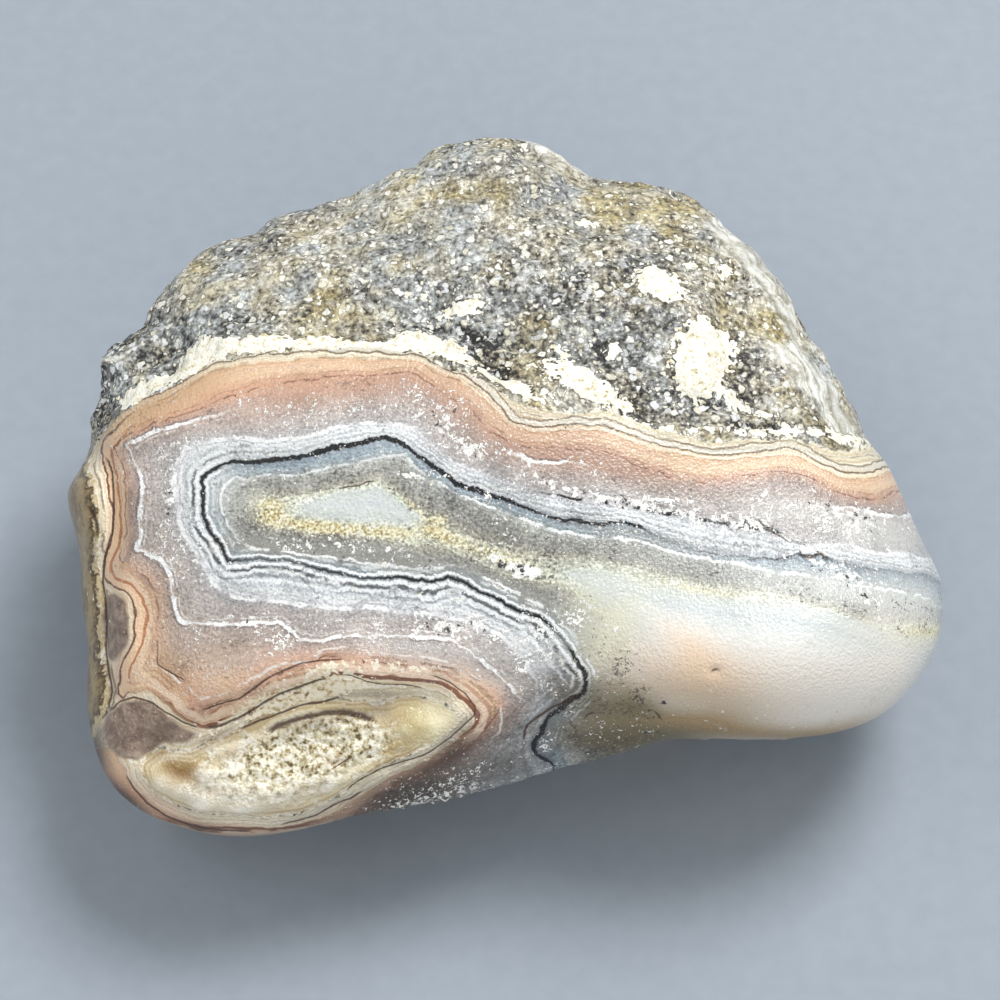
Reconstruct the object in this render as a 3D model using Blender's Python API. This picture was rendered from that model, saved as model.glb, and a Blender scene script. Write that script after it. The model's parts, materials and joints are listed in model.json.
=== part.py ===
"""A river-worn agate nodule, one closed stone that rests on its base.

The stone is drawn as it is seen square on to its banded face, from an eye that looks down on it. Its outline
and its landmarks are traced in picture pixels, and STONE_WIDTH_MM gives them their real size. In this face
frame x runs to the right, y up the face and z out of it, towards the eye. The last step turns the face frame
down by the eye's elevation, so that the stone lies on the ground: +Z up, the banded face towards -Y.
"""

import math

import bmesh
import bpy
import numpy as np

# Driving sizes
STONE_WIDTH_MM = 62.0
EYE_ELEVATION_DEG = 55.0
EYE_DISTANCE_MM = 230.0
FACE_HEIGHT_MM = 11.0
BACK_DEPTH_MM = 17.5
FACE_EXPONENT = 2.7
BACK_EXPONENT = 2.1
FACE_LEAN = 0.25
BACK_BEND_PER_MM = 0.014
BASE_DROP_MM = 15.0
BASE_ROUNDING_MM = 1.2
CENTRE_SHIFT_MM = (-0.2, -1.6)
GRID_CELLS = 26
OUTLINE_SAMPLES = 24

# Random lumps: size and height in mm, broad ones all over and rough ones on the rind
BROAD_LUMPS = ((13.0, 0.45), (6.0, 0.2))
ROUGH_LUMPS = ((3.4, 0.36), (1.8, 0.16))
RIND_SETBACK_MM = 0.25
RIND_EASE_PX = 22
LATTICE_SIDE = 32

# The middle of the picture and the stone's outline, in picture pixels
PICTURE_MIDDLE_PX = (500, 500)
OUTLINE_PX = [
    (67, 497), (80, 468), (88, 448), (86, 418), (93, 382), (101, 349), (131, 322), (156, 290), (185, 262),
    (228, 243), (275, 220), (325, 203), (372, 182), (405, 168), (440, 147), (480, 140), (520, 143),
    (558, 157), (592, 177), (625, 182), (665, 189), (703, 204), (742, 232), (776, 273), (801, 316),
    (829, 356), (851, 397), (866, 440), (889, 466), (908, 504), (924, 543), (940, 580), (943, 612),
    (938, 651), (916, 685), (882, 713), (836, 731), (780, 740), (725, 741), (674, 741), (620, 754),
    (560, 768), (500, 784), (440, 800), (385, 810), (330, 826), (280, 837), (235, 839), (190, 832),
    (148, 817), (118, 793), (101, 764), (91, 727), (87, 690), (88, 645), (82, 600), (79, 550),
]

# Where the banded agate ends and the rough rind begins, from left to right
RIND_EDGE_PX = [
    (60, 480), (98, 440), (128, 412), (190, 378), (260, 357), (330, 350), (400, 352), (440, 366), (480, 385),
    (520, 405), (570, 412), (620, 418), (680, 434), (740, 440), (800, 438), (850, 450), (880, 446), (990, 470),
]

# Dents and lumps of the face: middle and half sizes in picture pixels, turn in degrees, height in mm
FACE_FORMS = {
    "pocket hollow": ((300, 742), (110, 30), 8, -1.3),
    "pocket knob": ((430, 725), (55, 38), 20, 0.9),
    "pocket lip": ((330, 660), (190, 26), 4, 0.6),
    "milky lobe": ((800, 640), (170, 85), 4, 2.0),
    "valley under the bands": ((585, 742), (75, 46), 25, -1.8),
    "left rind": ((88, 520), (20, 70), 0, 0.6),
    "mauve knob": ((120, 628), (18, 36), 0, 0.5),
    "hollow behind the bands": ((530, 350), (75, 26), 8, -1.1),
    "hollow by the pale eye": ((655, 388), (46, 34), 20, -0.9),
    "pale eye": ((707, 360), (30, 40), 10, 0.4),
    "small pale eye": ((660, 283), (26, 18), -25, 0.4),
    "left shoulder": ((150, 350), (60, 40), 30, -1.0),
    "back slope": ((520, 170), (380, 90), 0, -2.2),
    "brow": ((470, 420), (260, 70), 4, 1.0),
}

# Creases worn into the face: points from one end to the other and width in picture pixels, depth in mm
CREASES = {
    "over the pocket": ([(150, 748), (205, 727), (262, 712), (320, 697), (375, 704), (430, 702)], 17, 1.1),
    "beside the left rind": ([(96, 452), (112, 495), (115, 540), (103, 570), (105, 640), (106, 690)], 15, 0.9),
}


def mm_per_px():
    """The real size of one picture pixel, from the stone's width."""
    across = [x for x, _ in OUTLINE_PX]
    return STONE_WIDTH_MM / (max(across) - min(across))


def face_mm(points_px):
    """Picture pixels as millimetres to the right of and above the middle of the picture."""
    points = np.asarray(points_px, float) - PICTURE_MIDDLE_PX
    return points * (1, -1) * mm_per_px()


def smooth_closed_curve(points, samples):
    """A closed curve through the points, each span a Catmull-Rom cubic cut into that many samples."""
    t = np.linspace(0, 1, samples, endpoint=False)[:, None, None]
    before, start, end, after = (np.roll(points, shift, axis=0) for shift in (1, 0, -1, -2))
    slope_in = (end - before) / 2
    slope_out = (after - start) / 2
    curve = (
        (2 * t**3 - 3 * t**2 + 1) * start
        + (t**3 - 2 * t**2 + t) * slope_in
        + (3 * t**2 - 2 * t**3) * end
        + (t**3 - t**2) * slope_out
    )
    return curve.transpose(1, 0, 2).reshape(-1, 2)


def outline_radius(angles):
    """How far the outline lies from the middle of the picture in each direction, in mm."""
    curve = smooth_closed_curve(face_mm(OUTLINE_PX), OUTLINE_SAMPLES)
    turned = np.arctan2(curve[:, 1], curve[:, 0])
    order = np.argsort(turned)
    return np.interp(angles, turned[order], np.hypot(*curve.T)[order], period=2 * math.pi)


def smooth_noise(points, wavelength_mm, seed):
    """Smooth random lumps from -1 to 1: seeded numbers on a cubic lattice, eased from one to the next."""
    table = np.random.default_rng(seed).uniform(-1, 1, (LATTICE_SIDE, LATTICE_SIDE, LATTICE_SIDE))
    place = points / wavelength_mm
    cell = np.floor(place).astype(int)
    share = place - cell
    share = share**3 * (share * (6 * share - 15) + 10)
    total = np.zeros(len(points))
    for corner in np.ndindex(2, 2, 2):
        weight = np.prod(np.where(corner, share, 1 - share), axis=1)
        total += weight * table[tuple(((cell + corner) % LATTICE_SIDE).T)]
    return total

def random_lumps(points, lumps, seed):
    """The sum of smooth noises, one for each pair of size and height."""
    return sum(height * smooth_noise(points, size, seed + n) for n, (size, height) in enumerate(lumps))


def height_over_curve(points_px, curve_px):
    """How far each picture point lies above an open curve that runs from left to right, in pixels."""
    across, down = np.asarray(curve_px, float).T
    return np.interp(points_px[:, 0], across, down) - points_px[:, 1]


def smooth_step(values, low, high):
    t = np.clip((values - low) / (high - low), 0, 1)
    return t * t * (3 - 2 * t)


def face_form(points_px, middle, half_sizes, turn_deg):
    """A round hill of height 1: a Gaussian over a turned ellipse."""
    offset = points_px - middle
    turn = math.radians(turn_deg)
    along = offset[:, 0] * math.cos(turn) - offset[:, 1] * math.sin(turn)
    across = offset[:, 0] * math.sin(turn) + offset[:, 1] * math.cos(turn)
    return np.exp(-((along / half_sizes[0]) ** 2) - (across / half_sizes[1]) ** 2)


def distance_to_curve(points_px, curve_px):
    """How far each picture point lies from an open run of straight spans, in pixels."""
    starts, ends = np.asarray(curve_px[:-1], float), np.asarray(curve_px[1:], float)
    spans = ends - starts
    offset = points_px[:, None] - starts
    share = np.clip((offset * spans).sum(axis=2) / (spans**2).sum(axis=1), 0, 1)
    return np.linalg.norm(offset - share[..., None] * spans, axis=2).min(axis=1)


def stone_body(directions):
    """A rounded body over the outline: a superellipsoid, deeper behind its rim than in front of it."""
    flat = np.hypot(directions[:, 0], directions[:, 1])
    exponent = np.where(directions[:, 2] > 0, FACE_EXPONENT, BACK_EXPONENT)
    reach = (flat**exponent + np.abs(directions[:, 2]) ** exponent) ** (-1 / exponent)
    angles = np.arctan2(directions[:, 1], directions[:, 0])
    across = (reach * outline_radius(angles))[:, None] * directions[:, :2]
    depth = np.where(directions[:, 2] > 0, FACE_HEIGHT_MM, BACK_DEPTH_MM)
    return across, reach * directions[:, 2] * depth


def face_relief(across, directions):
    """Height that the dents and lumps add to the face, fading out at the rim."""
    points_px = across * (1, -1) / mm_per_px() + PICTURE_MIDDLE_PX
    relief = np.zeros(len(across))
    for middle, half_sizes, turn_deg, height in FACE_FORMS.values():
        relief += height * face_form(points_px, middle, half_sizes, turn_deg)
    for curve_px, width, depth in CREASES.values():
        relief -= depth * np.exp(-((distance_to_curve(points_px, curve_px) / width) ** 2))
    return relief * smooth_step(directions[:, 2], 0.0, 0.3)


def face_points(directions):
    """Points of the stone in the face frame, in mm, each on the eye's ray through its place in the outline."""
    across, out = stone_body(directions)
    bend = BACK_BEND_PER_MM * np.minimum(out, 0) ** 2
    out = out + face_relief(across, directions) - FACE_LEAN * across[:, 1]
    nearer = (EYE_DISTANCE_MM - out) / EYE_DISTANCE_MM
    return np.column_stack([across[:, 0] * nearer, across[:, 1] * nearer - bend, out])


def picture_points(points):
    """Where the eye sees points of the face frame, in picture pixels."""
    nearer = ((EYE_DISTANCE_MM - points[:, 2]) / EYE_DISTANCE_MM)[:, None]
    return points[:, :2] / nearer * (1, -1) / mm_per_px() + PICTURE_MIDDLE_PX


def rind_share(points, directions):
    """From 0 on the banded face to 1 on the rind, which also covers the back."""
    above_edge = smooth_step(height_over_curve(picture_points(points), RIND_EDGE_PX), 0, RIND_EASE_PX)
    behind = smooth_step(-directions[:, 2], -0.05, 0.25)
    return np.maximum(above_edge, behind)

def surface_lumps(points, directions):
    """Outward lumps in mm: broad ones all over, and rough ones on the rind, which lies a little lower."""
    broad = random_lumps(points, BROAD_LUMPS, seed=1)
    rough = random_lumps(points, ROUGH_LUMPS, seed=3)
    return broad + rind_share(points, directions) * (rough - RIND_SETBACK_MM)

def to_ground(points):
    """Turns the face frame down by the eye's elevation, so that +Z is up."""
    elevation = math.radians(EYE_ELEVATION_DEG)
    right, up, out = points.T
    back = up * math.sin(elevation) - out * math.cos(elevation)
    height = up * math.cos(elevation) + out * math.sin(elevation)
    shift = (*CENTRE_SHIFT_MM, BASE_DROP_MM)
    return np.column_stack([right, back, height]) + shift


def worn_flat(points):
    """The base: everything under the ground is worn away to a flat, with a round edge."""
    height = points[:, 2]
    eased = (height + BASE_ROUNDING_MM) ** 2 / (4 * BASE_ROUNDING_MM)
    flat = np.where(height < BASE_ROUNDING_MM, eased, height)
    flat = np.where(height < -BASE_ROUNDING_MM, 0, flat)
    return np.column_stack([points[:, :2], flat])


def ball():
    """A cube cut into equal square cells and blown up into a ball, so that no two cells meet at a pole."""
    mesh = bmesh.new()
    bmesh.ops.create_cube(mesh, size=2)
    bmesh.ops.subdivide_edges(mesh, edges=mesh.edges, cuts=GRID_CELLS - 1, use_grid_fill=True)
    for vertex in mesh.verts:
        vertex.co = [math.tan(c * math.pi / 4) for c in vertex.co]
        vertex.co.normalize()
    return mesh


def set_points(mesh, points):
    for vertex, point in zip(mesh.verts, points):
        vertex.co = point


def agate_stone():
    """The stone's mesh in metres: body, face forms, then lumps along its normals, then the flat base."""
    mesh = ball()
    directions = np.array([vertex.co for vertex in mesh.verts])
    points = face_points(directions)
    set_points(mesh, points)
    mesh.normal_update()
    normals = np.array([vertex.normal for vertex in mesh.verts])
    points = points + normals * surface_lumps(points, directions)[:, None]
    set_points(mesh, worn_flat(to_ground(points)) / 1000)
    bmesh.ops.recalc_face_normals(mesh, faces=mesh.faces)
    data = bpy.data.meshes.new("agate")
    mesh.to_mesh(data)
    mesh.free()
    data.shade_smooth()
    return data


def banded_chalcedony():
    """A plain waxy material in the stone's middle colour."""
    material = bpy.data.materials.new("banded_chalcedony")
    material.use_nodes = True
    shader = material.node_tree.nodes["Principled BSDF"]
    shader.inputs["Base Color"].default_value = (0.46, 0.40, 0.35, 1)
    shader.inputs["Roughness"].default_value = 0.35
    shader.inputs["Metallic"].default_value = 0.0
    return material


def main():
    for old in list(bpy.data.objects):
        bpy.data.objects.remove(old)
    stone = bpy.data.objects.new("agate", agate_stone())
    stone.data.materials.append(banded_chalcedony())
    bpy.context.scene.collection.objects.link(stone)


main()
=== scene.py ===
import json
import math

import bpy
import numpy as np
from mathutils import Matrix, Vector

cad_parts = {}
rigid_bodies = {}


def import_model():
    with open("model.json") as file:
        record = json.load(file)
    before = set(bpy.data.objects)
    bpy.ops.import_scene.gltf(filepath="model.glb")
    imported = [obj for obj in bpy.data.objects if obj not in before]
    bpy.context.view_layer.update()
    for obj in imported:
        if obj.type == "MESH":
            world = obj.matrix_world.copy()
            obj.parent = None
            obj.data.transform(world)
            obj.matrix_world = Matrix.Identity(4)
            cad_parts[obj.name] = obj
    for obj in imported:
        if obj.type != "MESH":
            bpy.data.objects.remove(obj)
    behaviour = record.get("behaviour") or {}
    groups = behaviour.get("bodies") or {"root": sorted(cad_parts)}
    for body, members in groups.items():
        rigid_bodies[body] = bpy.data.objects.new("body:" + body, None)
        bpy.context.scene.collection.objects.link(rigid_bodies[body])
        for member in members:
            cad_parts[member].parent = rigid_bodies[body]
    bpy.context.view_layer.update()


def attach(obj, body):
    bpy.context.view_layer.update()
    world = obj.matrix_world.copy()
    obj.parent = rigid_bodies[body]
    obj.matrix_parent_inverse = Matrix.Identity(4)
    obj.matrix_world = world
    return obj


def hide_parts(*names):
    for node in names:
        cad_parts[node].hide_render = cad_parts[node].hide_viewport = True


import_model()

# %% [markdown]
# A river-worn agate nodule, finished from its plain solid.
#
# The real stone is one lump of chalcedony, a quartz that grew in thin shells from the wall of a hollow
# towards its middle. The river wore it round and cut the shells open, so its upper face shows them as
# bands with sharp corners. Its back still wears the grainy rock that it grew in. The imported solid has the
# size and the main lumps. This script makes the same surface again, finer, and gives it the bands, the
# grains and the gloss.

# %% [markdown]
# Driving sizes. The stone is drawn square on to its banded face, as an eye 55 degrees above the ground
# sees it. In this face frame x runs right, y up the face and z out towards the eye. Places on the face
# are given in picture pixels, and the stone's real width gives a pixel its size. The body's values are
# those of the solid.

# %% Driving sizes
STONE_WIDTH_MM = 62.0
EYE_ELEVATION_DEG = 55.0
EYE_DISTANCE_MM = 230.0
FACE_HEIGHT_MM = 11.0
BACK_DEPTH_MM = 17.5
FACE_EXPONENT = 2.7
BACK_EXPONENT = 2.1
FACE_LEAN = 0.25
BACK_BEND_PER_MM = 0.014
BASE_DROP_MM = 15.0
BASE_ROUNDING_MM = 1.2
CENTRE_SHIFT_MM = (-0.2, -1.6)
OUTLINE_SAMPLES = 24
SURFACE_CELLS = 128
FACE_DENSITY = 3.0

PICTURE_MIDDLE_PX = (500, 500)
OUTLINE_PX = [
    (67, 497), (80, 468), (88, 448), (86, 418), (93, 382), (101, 349), (131, 322), (156, 290), (185, 262),
    (228, 243), (275, 220), (325, 203), (372, 182), (405, 168), (440, 147), (480, 140), (520, 143),
    (558, 157), (592, 177), (625, 182), (665, 189), (703, 204), (742, 232), (776, 273), (801, 316),
    (829, 356), (851, 397), (866, 440), (889, 466), (908, 504), (924, 543), (940, 580), (943, 612),
    (938, 651), (916, 685), (882, 713), (836, 731), (780, 740), (725, 741), (674, 741), (620, 754),
    (560, 768), (500, 784), (440, 800), (385, 810), (330, 826), (280, 837), (235, 839), (190, 832),
    (148, 817), (118, 793), (101, 764), (91, 727), (87, 690), (88, 645), (82, 600), (79, 550),
]
WIDTH_PX = max(x for x, _ in OUTLINE_PX) - min(x for x, _ in OUTLINE_PX)
MM_PER_PX = STONE_WIDTH_MM / WIDTH_PX
print("one picture pixel is", round(MM_PER_PX, 4), "mm")

# %% [markdown]
# The surface starts as a ball. A ball of rings and segments has poles, where grains and lines would
# pinch. So the points lie on a cube's surface lattice and are then pushed out to unit length. The tangent
# spreads them evenly.

# %% The ball's lattice
def ball_lattice(cells):
    """Points of a cube's surface lattice, each once, and four corner numbers for every cell, turned outwards.

    A triple (i, j, k) from 0 to cells is on the surface if one of its numbers is 0 or cells.
    """
    steps = np.arange(cells + 1)
    grid = np.stack(np.meshgrid(steps, steps, steps, indexing="ij"))
    on_surface = (grid.min(axis=0) == 0) | (grid.max(axis=0) == cells)
    number = np.cumsum(on_surface).reshape(on_surface.shape) - 1
    across, along = np.meshgrid(steps[:-1], steps[:-1], indexing="ij")
    quads = []
    for axis in range(3):
        for end, ring in ((cells, ((0, 0), (1, 0), (1, 1), (0, 1))), (0, ((0, 1), (1, 1), (1, 0), (0, 0)))):
            places = [np.stack([np.full_like(across, end), across + a, along + b]) for a, b in ring]
            corners = [number[tuple(np.roll(place, axis, axis=0))] for place in places]
            quads.append(np.stack(corners, axis=-1).reshape(-1, 4))
    return grid[:, on_surface].T, np.concatenate(quads)


lattice, quads = ball_lattice(SURFACE_CELLS)
even_directions = np.tan((lattice / SURFACE_CELLS * 2 - 1) * math.pi / 4)
even_directions /= np.linalg.norm(even_directions, axis=1)[:, None]
print("surface points:", len(even_directions), "cells:", len(quads))

# %% [markdown]
# Three small tools serve every shape below: a smooth step from 0 to 1, a round hill over a turned
# ellipse, and smooth noise. Sculpting would give livelier lumps, but numbers with a seed give the same
# stone every time.

# %% Steps, hills and noise
def smooth_step(values, low, high):
    """0 under low, 1 over high, and 3t^2 - 2t^3 between them."""
    t = np.clip((values - low) / (high - low), 0, 1)
    return t * t * (3 - 2 * t)


def hill(points_px, middle, half_sizes, turn_deg=0):
    """A round hill of height 1: e to the minus squared distance, in half sizes of a turned ellipse."""
    offset = points_px - middle
    turn = math.radians(turn_deg)
    along = offset[:, 0] * math.cos(turn) - offset[:, 1] * math.sin(turn)
    across = offset[:, 0] * math.sin(turn) + offset[:, 1] * math.cos(turn)
    return np.exp(-((along / half_sizes[0]) ** 2) - (across / half_sizes[1]) ** 2)


def smooth_noise(points, size, seed):
    """Random lumps from -1 to 1: seeded numbers on a cubic lattice, eased by 6t^5 - 15t^4 + 10t^3."""
    side = 32
    table = np.random.default_rng(seed).uniform(-1, 1, (side, side, side))
    place = points / size
    cell = np.floor(place).astype(int)
    share = place - cell
    share = share**3 * (share * (6 * share - 15) + 10)
    total = np.zeros(len(points))
    for corner in np.ndindex(2, 2, 2):
        weight = np.prod(np.where(corner, share, 1 - share), axis=1)
        total += weight * table[tuple(((cell + corner) % side).T)]
    return total


def random_lumps(points, lumps, seed):
    """The sum of smooth noises, one for each pair of size and height."""
    return sum(height * smooth_noise(points, size, seed + n) for n, (size, height) in enumerate(lumps))


# %% [markdown]
# The body. In each direction the outline's radius is scaled by a superellipse: x^p + z^p = 1 gives a
# worn, nearly flat face and a rounder back. Every point is then drawn in along the eye's ray, so that the
# outline stays the outline when a camera stands where the eye is.

# %% The body over its outline
def smooth_closed_curve(points, samples):
    """A closed curve through the points, each span a Catmull-Rom cubic cut into that many samples."""
    t = np.linspace(0, 1, samples, endpoint=False)[:, None, None]
    before, start, end, after = (np.roll(points, shift, axis=0) for shift in (1, 0, -1, -2))
    slope_in = (end - before) / 2
    slope_out = (after - start) / 2
    curve = (
        (2 * t**3 - 3 * t**2 + 1) * start
        + (t**3 - 2 * t**2 + t) * slope_in
        + (3 * t**2 - 2 * t**3) * end
        + (t**3 - t**2) * slope_out
    )
    return curve.transpose(1, 0, 2).reshape(-1, 2)


def outline_radius(angles):
    """The outline's distance from the picture's middle in each direction, in mm."""
    outline_mm = (np.array(OUTLINE_PX, float) - PICTURE_MIDDLE_PX) * (1, -1) * MM_PER_PX
    curve = smooth_closed_curve(outline_mm, OUTLINE_SAMPLES)
    turned = np.arctan2(curve[:, 1], curve[:, 0])
    order = np.argsort(turned)
    return np.interp(angles, turned[order], np.hypot(*curve.T)[order], period=2 * math.pi)


def profile(directions):
    """Flat and upright shares of a superellipse in each direction, from reach = (flat^p + |z|^p)^(-1/p)."""
    flat = np.hypot(directions[:, 0], directions[:, 1])
    exponent = np.where(directions[:, 2] > 0, FACE_EXPONENT, BACK_EXPONENT)
    reach = (flat**exponent + np.abs(directions[:, 2]) ** exponent) ** (-1 / exponent)
    depth = np.where(directions[:, 2] > 0, FACE_HEIGHT_MM, BACK_DEPTH_MM)
    return reach, reach * directions[:, 2] * depth


def spread_directions(directions):
    """Tips directions so that equal areas of a round stone of this profile get equal numbers of points, and
    the face FACE_DENSITY times as many: the share of points above each ring is matched to that of area."""
    polar = np.linspace(0, math.pi, 721)
    ring = np.column_stack([np.sin(polar), np.zeros_like(polar), np.cos(polar)])
    reach, height = profile(ring)
    radius = reach * ring[:, 0] * STONE_WIDTH_MM / 2
    slant = np.hypot(np.diff(radius), np.diff(height))
    density = np.where(polar[1:] < math.pi / 2, FACE_DENSITY, 1)
    area = np.concatenate([[0], np.cumsum((radius[1:] + radius[:-1]) * slant * density)])
    tipped = np.interp((1 - directions[:, 2]) / 2, area / area[-1], polar)
    flat = np.maximum(np.hypot(directions[:, 0], directions[:, 1]), 1e-9)
    level = directions[:, :2] / flat[:, None] * np.sin(tipped)[:, None]
    return np.column_stack([level, np.cos(tipped)])


def stone_body(directions):
    """Places across the face, from the outline's radius, and heights out of it."""
    reach, height = profile(directions)
    angles = np.arctan2(directions[:, 1], directions[:, 0])
    return (reach * outline_radius(angles))[:, None] * directions[:, :2], height


def as_pixels(across):
    """Places across the face in mm as picture pixels."""
    return across * (1, -1) / MM_PER_PX + PICTURE_MIDDLE_PX


directions = spread_directions(even_directions)
across, out = stone_body(directions)
body_px = as_pixels(across)
print("body is", np.ptp(across, axis=0).round(1), "mm across")

# %% [markdown]
# The face is not flat: a druse pocket has sunk at lower left, a milky lobe swells at right, and two
# creases are worn along softer shells. Forms that a hand could feel are here in the mesh. The solid has
# the same list.

# %% Dents, lumps and creases of the face
FACE_FORMS = {
    "pocket hollow": ((300, 742), (110, 30), 8, -1.3),
    "pocket knob": ((430, 725), (55, 38), 20, 0.9),
    "pocket lip": ((330, 660), (190, 26), 4, 0.6),
    "milky lobe": ((800, 640), (170, 85), 4, 2.0),
    "valley under the bands": ((585, 742), (75, 46), 25, -1.8),
    "left rind": ((88, 520), (20, 70), 0, 0.6),
    "mauve knob": ((120, 628), (18, 36), 0, 0.5),
    "hollow behind the bands": ((530, 350), (75, 26), 8, -1.1),
    "hollow by the pale eye": ((655, 388), (46, 34), 20, -0.9),
    "pale eye": ((707, 360), (30, 40), 10, 0.4),
    "small pale eye": ((660, 283), (26, 18), -25, 0.4),
    "left shoulder": ((150, 350), (60, 40), 30, -1.0),
    "back slope": ((520, 170), (380, 90), 0, -2.2),
    "brow": ((470, 420), (260, 70), 4, 1.0),
}
CREASES = {
    "over the pocket": ([(150, 748), (205, 727), (262, 712), (320, 697), (375, 704), (430, 702)], 17, 1.1),
    "beside the left rind": (
        [(96, 452), (112, 495), (115, 540), (103, 570), (105, 640), (106, 690)], 15, 0.9
    ),
}
FACE_EASE = (0.0, 0.3)


def distance_to_curve(points_px, curve_px):
    """Distance to an open run of straight spans, in pixels: the least over all spans."""
    starts, ends = np.array(curve_px[:-1], float), np.array(curve_px[1:], float)
    nearest = np.full(len(points_px), np.inf)
    for start, span in zip(starts, ends - starts):
        offset = points_px - start
        share = np.clip(offset @ span / (span @ span), 0, 1)
        nearest = np.minimum(nearest, np.linalg.norm(offset - share[:, None] * span, axis=1))
    return nearest


def face_relief(points_px):
    """Height in mm: all hills, less every crease as depth times e to the minus squared distance in widths."""
    relief = sum(height * hill(points_px, *shape) for *shape, height in FACE_FORMS.values())
    for curve_px, width, depth in CREASES.values():
        relief -= depth * np.exp(-((distance_to_curve(points_px, curve_px) / width) ** 2))
    return relief


bend = BACK_BEND_PER_MM * np.minimum(out, 0) ** 2
out = out + face_relief(body_px) * smooth_step(directions[:, 2], *FACE_EASE) - FACE_LEAN * across[:, 1]
nearer = (EYE_DISTANCE_MM - out) / EYE_DISTANCE_MM
face_points = np.column_stack([across[:, 0] * nearer, across[:, 1] * nearer - bend, out])
print("depth of the body:", round(float(np.ptp(out)), 1), "mm")

# %% [markdown]
# Where the banded agate ends, the rough rind begins. The rind also covers the back. It lies a little
# lower and its grains stand out, because quartz grains resist wear better than the soft rock between
# them.

# %% Rind, lumps and grains
RIND_EDGE_PX = [
    (60, 480), (98, 440), (128, 412), (190, 378), (260, 357), (330, 350), (400, 352), (440, 366),
    (480, 385), (520, 405), (570, 412), (620, 418), (680, 434), (740, 440), (800, 438), (850, 450),
    (880, 446), (990, 470),
]
BROAD_LUMPS = ((13.0, 0.45), (6.0, 0.2))
ROUGH_LUMPS = ((3.4, 0.36), (1.8, 0.16))
GRAINS = ((1.05, 0.13), (0.62, 0.1))
RIND_SETBACK_MM = 0.25
RIND_EASE_PX = 22
BACK_EASE = (-0.05, 0.25)
FRONT_EASE = (-0.55, -0.1)


def seen_from_the_eye(points):
    """Where the eye sees points of the face frame, in picture pixels."""
    nearer = ((EYE_DISTANCE_MM - points[:, 2]) / EYE_DISTANCE_MM)[:, None]
    return as_pixels(points[:, :2] / nearer)


def height_over_curve(points_px, curve_px):
    """Height of each picture point above an open curve that runs from left to right, in pixels."""
    curve_across, curve_down = np.array(curve_px, float).T
    return np.interp(points_px[:, 0], curve_across, curve_down) - points_px[:, 1]


def mesh_normals(points, quads):
    """Unit normals: each cell's crossed diagonals, summed at its four corners."""
    corners = points[quads]
    cells = np.cross(corners[:, 2] - corners[:, 0], corners[:, 3] - corners[:, 1])
    weights = np.repeat(cells, 4, axis=0)
    total = np.column_stack([np.bincount(quads.ravel(), weights[:, n], len(points)) for n in range(3)])
    return total / np.linalg.norm(total, axis=1)[:, None]


seen_px = seen_from_the_eye(face_points)
over_edge = height_over_curve(seen_px, RIND_EDGE_PX)
rind = np.maximum(smooth_step(over_edge, 0, RIND_EASE_PX), smooth_step(-directions[:, 2], *BACK_EASE))
lumps = random_lumps(face_points, BROAD_LUMPS, seed=1)
lumps += rind * (random_lumps(face_points, ROUGH_LUMPS, seed=3) - RIND_SETBACK_MM)
grains = rind * random_lumps(face_points, GRAINS, seed=5)
normals = mesh_normals(face_points, quads)
print("lumps from", round(lumps.min(), 2), "to", round(lumps.max(), 2), "mm")
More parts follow.
